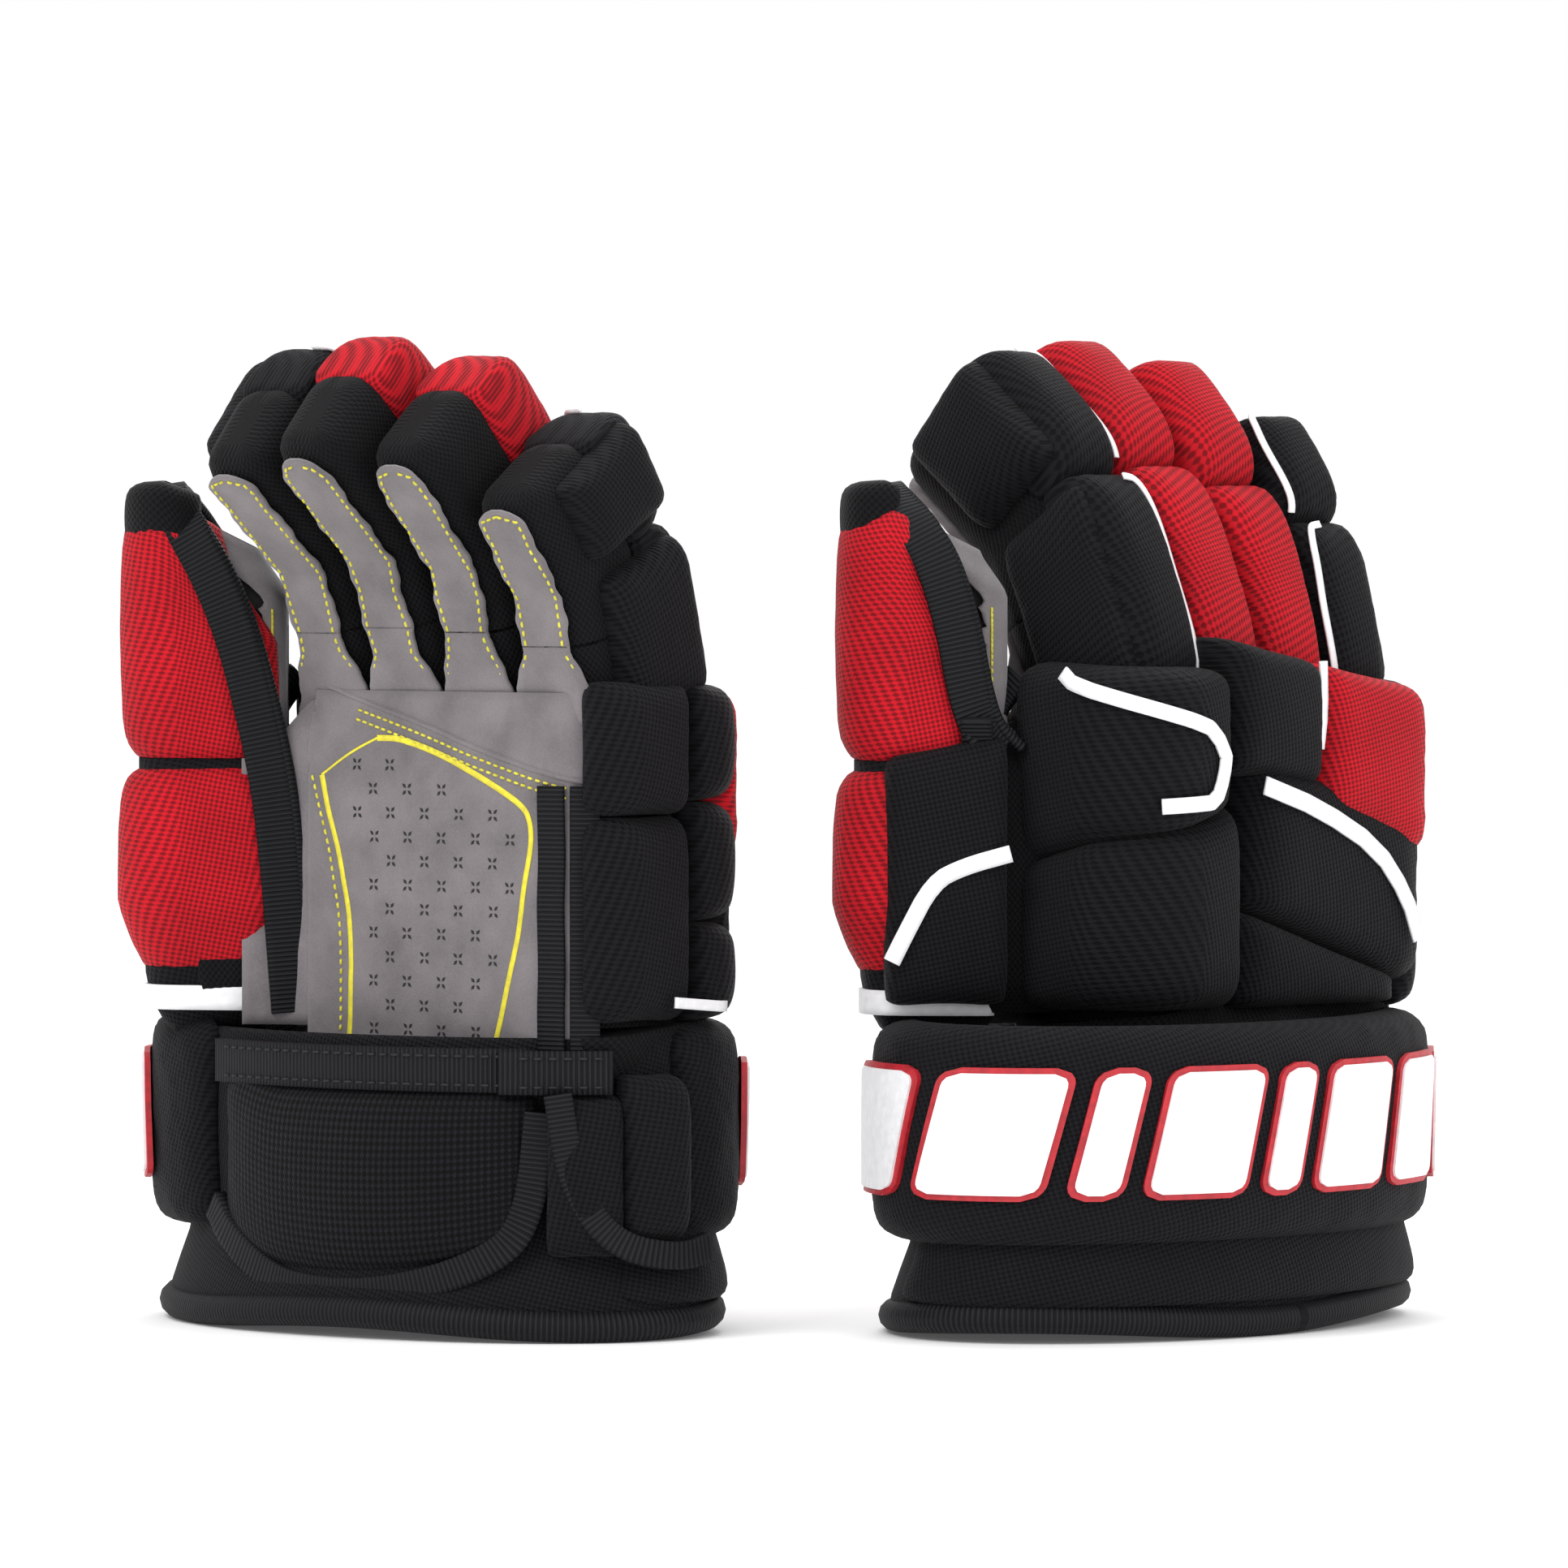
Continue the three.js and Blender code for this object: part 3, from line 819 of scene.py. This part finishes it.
def vent_shape(host, x, z):
    """Four small slits in a cross."""
    slit = ((0.55, 0.0), (1.5, 0.55), (2.6, 0.0), (1.5, -0.55))
    faces = [(0, 1, 2, 3), (7, 6, 5, 4), (0, 4, 5, 1), (1, 5, 6, 2), (2, 6, 7, 3), (3, 7, 4, 0)]
    shapes = []
    for turn in (45, 135, 225, 315):
        c, n = math.cos(math.radians(turn)), math.sin(math.radians(turn))
        verts = [host(x + c * r - n * w, z + n * r + c * w, h) for h in (1.32, 0.4) for r, w in slit]
        shapes.append((verts, faces, [(0.0, 0.0)] * len(verts)))
    return merge_shapes(shapes)


def inside_print(x, z):
    """Whether a vent fits within the printed outline."""
    left = -5 if z < 150 else -5 - (z - 150) * 0.25
    right = 53 + (z - 94) * 0.26 if z < 160 else 70 - (z - 160) * 1.9
    return left + 2 < x < right - 5 and z < 184 - max(x - 5, 0) * 0.27


def build_palm(side):
    def web_edge(_p, _q, s, t):
        return s, t + web_rise(s, t)

    sheet = panel_shape(palm, (-26.5, 88), (90, 203), 40, 34, 1.2)
    make_piece("palm_suede", side, *sheet, grey_suede, "hand", ["palm_panel"], sheet_on="hand_sleeve")
    root = panel_shape(palm, (-46, -25.5), (96, WEB_TOP), 10, 22, 1.15, web_edge)
    make_piece("thumb_root_suede", side, *root, grey_suede, "hand", sheet_on="thumb_root")

    print_lines = (("thumb_side", PRINT_THICK, 2.0), ("corner", PRINT_THIN, 0.8), ("outer", PRINT_OUTER, 2.0))
    for word, route, width in print_lines:
        line = line_points(palm, smooth_route(route, 3), 1.25, 1.5)
        make_piece(f"palm_print_{word}", side, *tape_shape(line, width, 0.14, 2), yellow_print, "hand")

    vents = []
    gap_across, gap_up = 14.5, 7.6
    for row in range(12):
        for column in range(-1, 6):
            x = column * gap_across + (gap_across / 2 if row % 2 else 0) + 2
            z = 96 + row * gap_up
            if inside_print(x, z):
                vents.append(vent_shape(palm, x, z))
    make_piece("palm_vents", side, *merge_shapes(vents), black_thread, "hand", smooth=False)

    seam = cord_shape(line_points(palm, smooth_route(SEAM_UNDER_FINGERS, 2), 1.1), 0.8)
    make_piece("palm_seam", side, *seam, grey_suede, "hand")
    for drop, word in ((3.0, "upper"), (6.0, "lower")):
        route = [(x, z - drop) for x, z in SEAM_UNDER_FINGERS[1:]]
        sew(f"palm_seam_{word}", side, line_points(palm, smooth_route(route), 1.35), "hand")
    lines = {
        "thumb_line": [(-13, 94), (-12, 125), (-16, 148), (-25, 176)],
        "root_line": [(-31, 140), (-33, 160), (-34, 178)],
    }
    for word, route in lines.items():
        sew(f"palm_{word}", side, line_points(palm, smooth_route(route), 1.3), "hand")

    for x, word, lift in ((77.0, "inner", 1.8), (85.5, "outer", 1.2)):
        binding = tape_shape(line_points(palm, [(x, 90), (x, 174)], lift), 9.5, 1.3, 4)
        make_piece(f"palm_{word}_binding", side, *binding, rib_tape, "hand")


# ---- Pads of the hand ----------------------------------------------------------------
# Foam pads in woven nylon cover the back and the outer side, sewn to each other along
# their edges. White coated piping marks the seams. The thumb side has a pad of its own.

HAND_LEFT, HAND_RIGHT = -35.5, 88.5
HAND_FRONT, HAND_BACK = -28.0, 24.0
HAND_CORNER = 10
HAND_MIDDLE = (HAND_LEFT + HAND_RIGHT) / 2
hand_ring = outline_host(rounded_outline(HAND_LEFT, HAND_RIGHT, HAND_FRONT, HAND_BACK, HAND_CORNER))


def hand_s(x=None, y=None):
    """How far round the hand a point lies: on the back by its x, on the outer side by its y."""
    if x is not None:
        return x - HAND_MIDDLE
    back_half = HAND_RIGHT - HAND_MIDDLE - HAND_CORNER
    return back_half + HAND_CORNER * math.pi / 2 + (HAND_BACK - HAND_CORNER - y)


# The cuff's outline, which the gusset at the wrist joins to the hand's.
CUFF_HALF_WIDTH, CUFF_HALF_DEPTH = 95.0, 57.0
cuff_ring = outline_host(ellipse_outline(CUFF_HALF_WIDTH, CUFF_HALF_DEPTH))


def build_hand(side):
    sleeve = tube_shape(hand_ring, [98 + 3 * i for i in range(36)], around=64, h=0.0)
    make_piece("hand_sleeve", side, *sleeve, gusset_knit, "hand", ["hand_liner"])
    wall = -(HAND_MIDDLE - HAND_LEFT - HAND_CORNER) - HAND_CORNER * math.pi / 2 - 30
    split = hand_s(x=-1.0)
    far = hand_s(x=HAND_RIGHT - 6)
    crown, flat = 0.12, 9
    pads = [
        # name, s range, t range, thickness, corner shifts, nodes
        ("back_pad_lower", (wall, split + 1), (101, 159), 22, (0, 0, 10, -10), ["back_pad_lower"]),
        ("back_pad_upper", (wall, split - 4), (152, 213), 22, (-8, 12, -2, 0), ["back_pad_upper"]),
        ("back_pad_outer", (split + 2, far + 5), (127, 180), 22, (6, -22, -12, 2), ["back_pad_outer"]),
        ("back_pad_corner", (split - 2, far - 4), (101, 131), 20, (0, 0, -22, 4), []),
        ("index_knuckle_pad", (split - 7, hand_s(x=37)), (174, 217), 23, (2, -4, -4, 4), ["knuckle_pad"]),
    ]
    for index, (name, s_range, t_range, thick, skew, nodes) in enumerate(pads):
        block = pad_shape(hand_ring, *s_range, *t_range, thick, 34, 28, crown, flat, skew=skew,
                          seed=index * 3.1)
        make_piece(name, side, *block, black_shell, "hand", nodes, fill=0.9)
    knuckle = pad_shape(hand_ring, hand_s(x=35), hand_s(x=86), 156, 211, 24, 30, 28, crown, flat,
                        skew=(6, -10, -6, 2), seed=7.7)
    make_piece("middle_knuckle_pad", side, *knuckle, red_shell, "hand", fill=0.9)

    # White coated stripes over the pads: route, height and width.
    stripes = {
        "upper": ([(-71, 209), (-58, 197), (-44, 184.5), (-45.5, 176), (-49, 168.5), (-58, 167)], 22.2, 5.0),
        "outer": ([(hand_s(x=1), 173), (hand_s(x=28), 165), (hand_s(x=56), 152), (hand_s(x=71), 136),
                   (hand_s(x=77), 122)], 22.2, 6.0),
        "knuckle": ([(hand_s(x=35.5), 212), (hand_s(x=36), 196), (hand_s(x=34), 184)], 17.0, 3.5),
    }
    for word, (route, lift, width) in stripes.items():
        line = line_points(hand_ring, smooth_route(route, 1), lift, 1.0)
        make_piece(f"hand_{word}_stripe", side, *tape_shape(line, width, 0.9, 3), white_trim, "hand")

    # Blocks in two columns down the outer side.
    column_edges = ((hand_s(x=80), hand_s(y=9)), (hand_s(y=9), hand_s(y=-29)))
    breaks = ((99, 130, 168, 205), (99, 164, 206))
    for c, (s_range, marks) in enumerate(zip(column_edges, breaks)):
        for k, (low, high) in enumerate(zip(marks, marks[1:])):
            thick = 15 - 2 * c
            block = pad_shape(hand_ring, *s_range, low, high + 1.0, thick, 22, 22, 0.15, 8, seed=c * 5 + k)
            name = f"side_block_{'outer' if c else 'back'}_{k + 1}"
            nodes = ["side_pad"] if name == "side_block_outer_1" else []
            make_piece(name, side, *block, black_shell, "hand", nodes, fill=0.9)
    band = line_points(hand_ring, [(hand_s(y=16), 104), (hand_s(y=-6), 106)], 14.6, 1.5)
    make_piece("side_stripe", side, *tape_shape(band, 3.5, 0.8, 3), white_trim, "hand")

    # A knit gusset closes the way from the cuff's upper edge to the hand, lower on the palm side.
    def between(s, t, _h):
        share = s / hand_ring.length
        outer = cuff_ring(share * cuff_ring.length, t, -2.5)
        inner = hand_ring(s, t, 6.0)
        front = math.sqrt(0.5 - 0.5 * math.cos(2 * math.pi * share))
        return outer.lerp(inner, ease((t - 84) / 23)) - Vector((0, 0, 15 * front))

    between.length = hand_ring.length
    gusset = tube_shape(between, [84 + 2 * i for i in range(13)], around=90)
    make_piece("wrist_gusset", side, *gusset, gusset_knit, "cuff",
               blend_to=("hand", (0, -33, 90), (0, -33, 106)))


for side in SIDES:
    build_palm(side)
    build_hand(side)


# ---- Thumb ---------------------------------------------------------------------------
# The thumb is a suede and knit stall turned towards the palm, with a red pad wrapped over
# its outer half and a second pad on its root. A broad grosgrain binding closes the edge
# between pad and suede, over the tip and down into the crotch.

THUMB_AT = Vector((-68.06, -40.0))
THUMB_TURN = math.radians(40)
# The height at which the thumb folds.
THUMB_SEAM = 178.0


def thumb_spot(x, y, z):
    """A point of the turned thumb in the glove's frame."""
    c, n = math.cos(THUMB_TURN), math.sin(THUMB_TURN)
    return Vector((THUMB_AT.x + c * x - n * y, THUMB_AT.y + n * x + c * y, z))


def thumb_host(left, right, half, corner, slope):
    """The thumb's skin: s from the middle of its outer face, over the back side first. The
    tip is lower on the inner side, by the slope."""
    section = outline_host(rounded_outline(left, right, -half, half, corner))

    def host(s, t, h):
        point = section(s - section.length / 4 - (right - left - 2 * half) / 4, 0, h)
        drop = slope * ease((t - 205) / 50) * max(point.x + 12, 0)
        return thumb_spot(point.x, point.y, t - drop)

    host.length = section.length
    return host


# The binding's way, in the thumb's own frame: up the front edge, over the tip and down the back.
THUMB_BINDING = [
    (30, -19, 100), (27, -20, 140), (24, -21, 170), (19, -22, 195), (12, -22.5, 222), (3, -22, 243),
    (-6, -17, 257), (-11, -8, 265), (-12, 0, 267), (-10, 8, 264), (-4, 17, 256), (3, 22, 243),
    (9, 22.5, 222), (12, 22, 205), (16, 21, 192), (24, 19, 185),
]
# The thumb's root seen from above, between the palm and the thumb.
ROOT_OUTLINE = [(-25.5, 10), (-25.5, -25), (-37.1, -35.5), (-58, -53), (-80, -30), (-59, -10.2)]


def space_points(route, outward):
    """A smooth line through points in space, as (place, outward, distance)."""
    places = [Vector(p) for p in smooth_route(route, 3)]
    found, run = [], 0.0
    for k, place in enumerate(places):
        if k:
            run += (place - places[k - 1]).length
        found.append((place, outward(place), run))
    return found


def build_thumb(side):
    root_ring = outline_host(ROOT_OUTLINE)

    def root_skin(s, t, h):
        place = root_ring(s, t, h)
        place.z += web_rise(place.x, t)
        place.y += lean_back(place.z)
        return place

    root_skin.length = root_ring.length
    root_heights = [101, 112, 130, 150, 160, 170, 178, WEB_TOP]
    root = tube_shape(root_skin, root_heights, [3, 0, 0, 0, 0, 0, 0.5, 3], around=60)
    make_piece("thumb_root", side, *root, gusset_knit, "hand")

    skin = thumb_host(-6, 26, 14, 9, slope=0.5)
    tube_heights = [176, 185, 200, 215, 230, 245, 254, 259, 261.5, 262]
    tube = tube_shape(skin, tube_heights, [0, 0, 0, 0, 0, 0.5, 2, 4.5, 8, 12], around=48)
    make_piece("thumb_tube", side, *tube, dark_fleece, "thumb", ["thumb_stall"])

    inner_middle = skin.length / 2

    def suede_edge(p, _q, _s, t):
        reach = 17 + 3 * ease((200 - t) / 20) + 15 * ease((t - 246) / 10)
        reach += 0.9 * math.sin(t * 0.45) + 0.5 * math.sin(t * 1.1)
        return inner_middle + (2 * p - 1) * reach, t

    def suede_skin(s, t, h):
        return skin(s, t, h + 0.6 - 9 * ease((t - 252) / 12))

    suede = panel_shape(suede_skin, (0, 1), (176, 263), 30, 40, 1.3, suede_edge)
    make_piece("thumb_suede", side, *suede, grey_suede, "thumb", sheet_on="thumb_tube")
    for sign, word in ((-1, "front"), (1, "back")):
        route = [(inner_middle + sign * (14.5 + 8 * ease((200 - t) / 20)), t) for t in range(180, 250, 5)]
        sew(f"thumb_{word}", side, line_points(skin, route, 2.1, 1.0), "thumb")

    pad_ring = thumb_host(-14, 24, 11, 8, slope=0.35)

    def tapered(s, t, h):
        return pad_ring(s, t, h - 0.32 * max(134 - t, 0))

    tapered.length = pad_ring.length

    def wrapped(s, t, h):
        reach = 0.62 + 0.38 * ease((262 - t) / 45) + 0.06 * ease((178 - t) / 40)
        return tapered(s * reach, t, h)

    core = tube_shape(pad_ring, [174, 180, 200, 230, 244], [1, 0, 0, 0, 3], around=48, h=4.0)
    make_piece("thumb_core", side, *core, gusset_knit, "thumb")

    tip_pad = pad_shape(wrapped, -42, 42, 178.5, 263, 12, 44, 30, 0.15, 9, seed=2.2)
    make_piece("thumb_tip_block", side, *tip_pad, red_shell, "thumb", ["thumb_tip_pad"], fill=0.9)
    base_pad = pad_shape(wrapped, -44, 44, 108, 179.5, 13, 44, 26, 0.15, 9, seed=5.4)
    make_piece("thumb_base_block", side, *base_pad, red_shell, "hand", ["thumb_base_pad"], fill=0.9)
    cap = pad_shape(wrapped, -30, 30, 246, 270, 10.5, 30, 14, 0.1, 6, seed=1.0)
    make_piece("thumb_cap", side, *cap, gusset_knit, "thumb", fill=0.8)
    band = line_points(tapered, [(-44, 104), (0, 104.5), (46, 104)], 12.5, 1.5)
    make_piece("thumb_white_band", side, *tape_shape(band, 8.0, 1.4, 3), white_trim, "hand")
    under = tube_shape(tapered, [92, 96, 104, 112, 150, 181], [5, 2, 0, 1, 6, 6], around=48, h=12.0)
    make_piece("thumb_under_band", side, *under, black_shell, "hand")

    def away(place):
        """The binding faces front or back on the thumb's edges, and up over its tip."""
        local = place - thumb_spot(4, 0, place.z)
        flat = Vector((local.x, local.y, 0))
        up = ease((place.z - 245) / 20)
        front = thumb_spot(4, -1, 0) - thumb_spot(4, 0, 0)
        facing = front if flat.dot(front) > 0 else -front
        return (facing * (1 - up) + Vector((0, 0, 1)) * up + flat.normalized() * 0.15).normalized()

    points = space_points([thumb_spot(*p) for p in THUMB_BINDING], away)
    fold = ("thumb", thumb_spot(4, -17, THUMB_SEAM - 6), thumb_spot(4, -17, THUMB_SEAM + 6))
    make_piece("thumb_binding", side, *tape_shape(points, 13.5, 2.2, 6), rib_tape, "hand", blend_to=fold)
    edge_route = [thumb_spot(x + 6.5, y, z) for x, y, z in THUMB_BINDING]
    edge = space_points(edge_route, away)
    make_piece("thumb_binding_edge", side, *cord_shape(edge, 1.9), rib_tape, "hand", blend_to=fold)

    # Side panel over the root, with its stripe, and the binding in the crotch.
    def flat_back(s, t, h):
        return thumb_spot(s, 17.3 + h, t)

    panel = pad_shape(flat_back, -14, 26, 103, 187, 13, 24, 30, 0.15, 9, skew=(0, 0, 4, -4), seed=4.1)
    make_piece("thumb_side_block", side, *panel, black_shell, "hand", ["thumb_side_pad"], fill=0.9)
    stripe_route = [(-13, 118), (-9, 126), (0, 143), (10, 148), (25, 152)]
    stripe = line_points(flat_back, smooth_route(stripe_route), 12.6, 1.5)
    make_piece("thumb_side_stripe", side, *tape_shape(stripe, 5.5, 0.9, 3), white_trim, "hand")
    loop = ((-72, -12, 195), (-68, -15, 187), (-62, -19, 184), (-58, -21, 190), (-53, -20, 199),
            (-48, -14, 207))
    crotch = space_points(loop, lambda _place: Vector((-0.6, 0.45, 0.65)).normalized())
    make_piece("crotch_binding", side, *tape_shape(crotch, 10, 3, 5), rib_tape, "hand",
               blend_to=("thumb", (-58, -20, 188), (-71, -13, 188)))


# ---- Cuff ----------------------------------------------------------------------------
# A knit sleeve ends in a bound, wavy hem that the glove stands on. A thick padded roll
# goes round the back and both sides, with raised bars of coated film; a mesh flap covers
# the palm side, and grosgrain tapes close the wrist.

def cuff_s(turn):
    """How far round the cuff a direction lies, in degrees clockwise from the middle of its back."""
    steps = 24
    total, last = 0.0, Vector((0, CUFF_HALF_DEPTH))
    for k in range(1, steps + 1):
        a = math.radians(turn * k / steps)
        here = Vector((CUFF_HALF_WIDTH * math.sin(a), CUFF_HALF_DEPTH * math.cos(a)))
        total += (here - last).length
        last = here
    return math.copysign(total, turn)


def bar_shape(host, s, t, width, height, lean, rise, corner):
    """A raised bar with round corners that leans to one side."""

    def outline(p, q, _s, _t):
        y = (2 * q - 1) * height / 2
        into = max(abs(y) - (height / 2 - corner), 0) / corner
        half = width / 2 - corner * (1 - math.sqrt(max(1 - into * into, 0)))
        return s + (2 * p - 1) * half + lean * y, t + y

    return panel_shape(host, (0, 1), (0, 1), 8, 28, rise, outline)


def build_cuff(side):
    def flare(s, t):
        front = 0.5 - 0.5 * math.cos(2 * math.pi * s / cuff_ring.length)
        return (5 + 5 * front) * (1 - ease((t - 4) / 34))

    def sleeve_skin(s, t, h):
        return cuff_ring(s, t, h + flare(s, t))

    # The sleeve's wall: up its outside, over the rim and down its inside.
    heights = [5, 12, 20, 28, 36, 46, 60, 75, 88, 94]
    rows = [(t, 0.0) for t in heights] + [(95, -1.2), (95, -3.5)] + [(t, -4.6) for t in heights[::-1]]
    around = 96
    verts, uvs = [], []
    for t, h in rows:
        for i in range(around):
            s = cuff_ring.length * i / around
            verts.append(sleeve_skin(s, t, h))
            uvs.append((s, t))
    faces = grid_faces(len(rows), around, wrap=True)
    last_row = (len(rows) - 1) * around
    faces += [(i, last_row + i, last_row + (i + 1) % around, (i + 1) % around) for i in range(around)]
    make_piece("cuff_sleeve", side, verts, faces, uvs, roll_knit, "cuff", ["cuff_liner"])

    count = 120
    hem = []
    for k in range(count):
        s = cuff_ring.length * k / count
        wave = 3.2 * (0.5 - 0.5 * math.cos(2 * math.pi * (3 * k / count + 0.1)))
        place = sleeve_skin(s, 5.0 + wave, -2.0)
        hem.append((place, cuff_ring(s, 0, 1) - cuff_ring(s, 0, 0), s))
    make_piece("cuff_hem", side, *cord_shape(hem, 5.0, 12, closed=True), rib_tape, "cuff")

    layer = pad_shape(sleeve_skin, cuff_s(-112), cuff_s(112), 11, 38, 7, 90, 12, 0.3, 6, seed=3.3)
    make_piece("cuff_under_layer", side, *layer, roll_knit, "cuff", fill=0.7)

    roll = pad_shape(cuff_ring, cuff_s(-148), cuff_s(92), 29.5, 100, 15.2, 110, 26, 0.04, 8,
                     pucker=0.8, seed=6.6)
    make_piece("cuff_roll_block", side, *roll, roll_knit, "cuff", ["cuff_roll"], fill=0.9)
    for k, (start, stop, low) in enumerate(((90, 110, 30), (108.5, 128, 26))):
        wing = pad_shape(cuff_ring, cuff_s(start), cuff_s(stop), low, 84 - 6 * k, 15 - 2 * k, 18, 24, 0.15, 8,
                         seed=8 + k)
        make_piece(f"cuff_wing_{k + 1}", side, *wing, black_shell, "cuff", fill=0.9)

    # White bars on red ones that are a little larger.
    whites, outlines = [], []
    bar_middle, bar_height, lean, border, gap = 66, 38, 0.22, 1.8, 8.5
    s = cuff_s(-124)
    for width in (30, 30, 12, 30, 12, 30, 30, 12):
        middle = s + width / 2
        outlines.append(bar_shape(lambda u, t, h: cuff_ring(u, t, h + 14.4), middle, bar_middle,
                                  width + 2 * border, bar_height + 2 * border, lean, 1.9, 5.5))
        whites.append(bar_shape(lambda u, t, h: cuff_ring(u, t, h + 15.0), middle, bar_middle,
                                width, bar_height, lean, 2.1, 4.0))
        s += width + gap
    make_piece("cuff_bar_outlines", side, *merge_shapes(outlines), red_trim, "cuff", smooth=False)
    make_piece("cuff_bars", side, *merge_shapes(whites), white_trim, "cuff", smooth=False)

    # The palm flap hangs lower in its middle; a flat tape binds its lower edge.
    flap_from, flap_to = cuff_s(129), cuff_s(208)

    def flap_skin(s, t, h):
        along = (2 * s - flap_from - flap_to) / (flap_to - flap_from)
        sag = 11 * max(1 - along * along, 0) * (79 - t) / 55
        return cuff_ring(s, t - sag + 5 * ease((along - 0.4) / 0.6), h)

    flap = pad_shape(flap_skin, flap_from, flap_to, 26, 79, 11, 50, 26, 0.3, 7, skew=(6, 0, 0, 0), seed=1.7)
    make_piece("palm_flap_pad", side, *flap, air_mesh, "palm_flap", ["cuff_flap"], fill=0.7)
    sweep = smooth_route([(flap_from, 72), (flap_from + 3, 40), (flap_from + 14, 29), (cuff_s(170), 24),
                          (flap_to - 8, 25), (flap_to + 3, 34)], 3)
    bound = tape_shape(line_points(flap_skin, sweep, 3.0, 1.5), 10, 4.0, 6)
    make_piece("palm_flap_binding", side, *bound, rib_tape, "palm_flap")
    wing_marks = ((125, 78), (122, 50), (113, 31), (96, 26), (84, 29))
    wing_route = smooth_route([(cuff_s(turn), t) for turn, t in wing_marks], 3)
    wing_edge = tape_shape(line_points(cuff_ring, wing_route, 9, 1.5), 9, 3.5, 6)
    make_piece("cuff_wing_binding", side, *wing_edge, rib_tape, "cuff")

    # Two tapes across the wrist, the short one over the long one's end, each with two seams.
    for word, turn_from, turn_to, t, lift in (("long", 132, 209, 85, 3.5), ("short", 112, 138, 84.5, 5.5)):
        start, stop = cuff_s(turn_from), cuff_s(turn_to)
        tape = tape_shape(line_points(cuff_ring, [(start, t), (stop, t)], lift), 14, 2.4, 5)
        make_piece(f"wrist_{word}_tape", side, *tape, rib_tape, "cuff")
        for drop, row_word in ((-4.5, "lower"), (4.5, "upper")):
            row = line_points(cuff_ring, [(start + 2, t + drop), (stop - 2, t + drop)], lift + 2.6)
            make_piece(f"wrist_{word}_{row_word}_stitches", side, *stitch_shape(row, 4.2, 2.8),
                       black_thread, "cuff")


for side in SIDES:
    build_thumb(side)
    build_cuff(side)
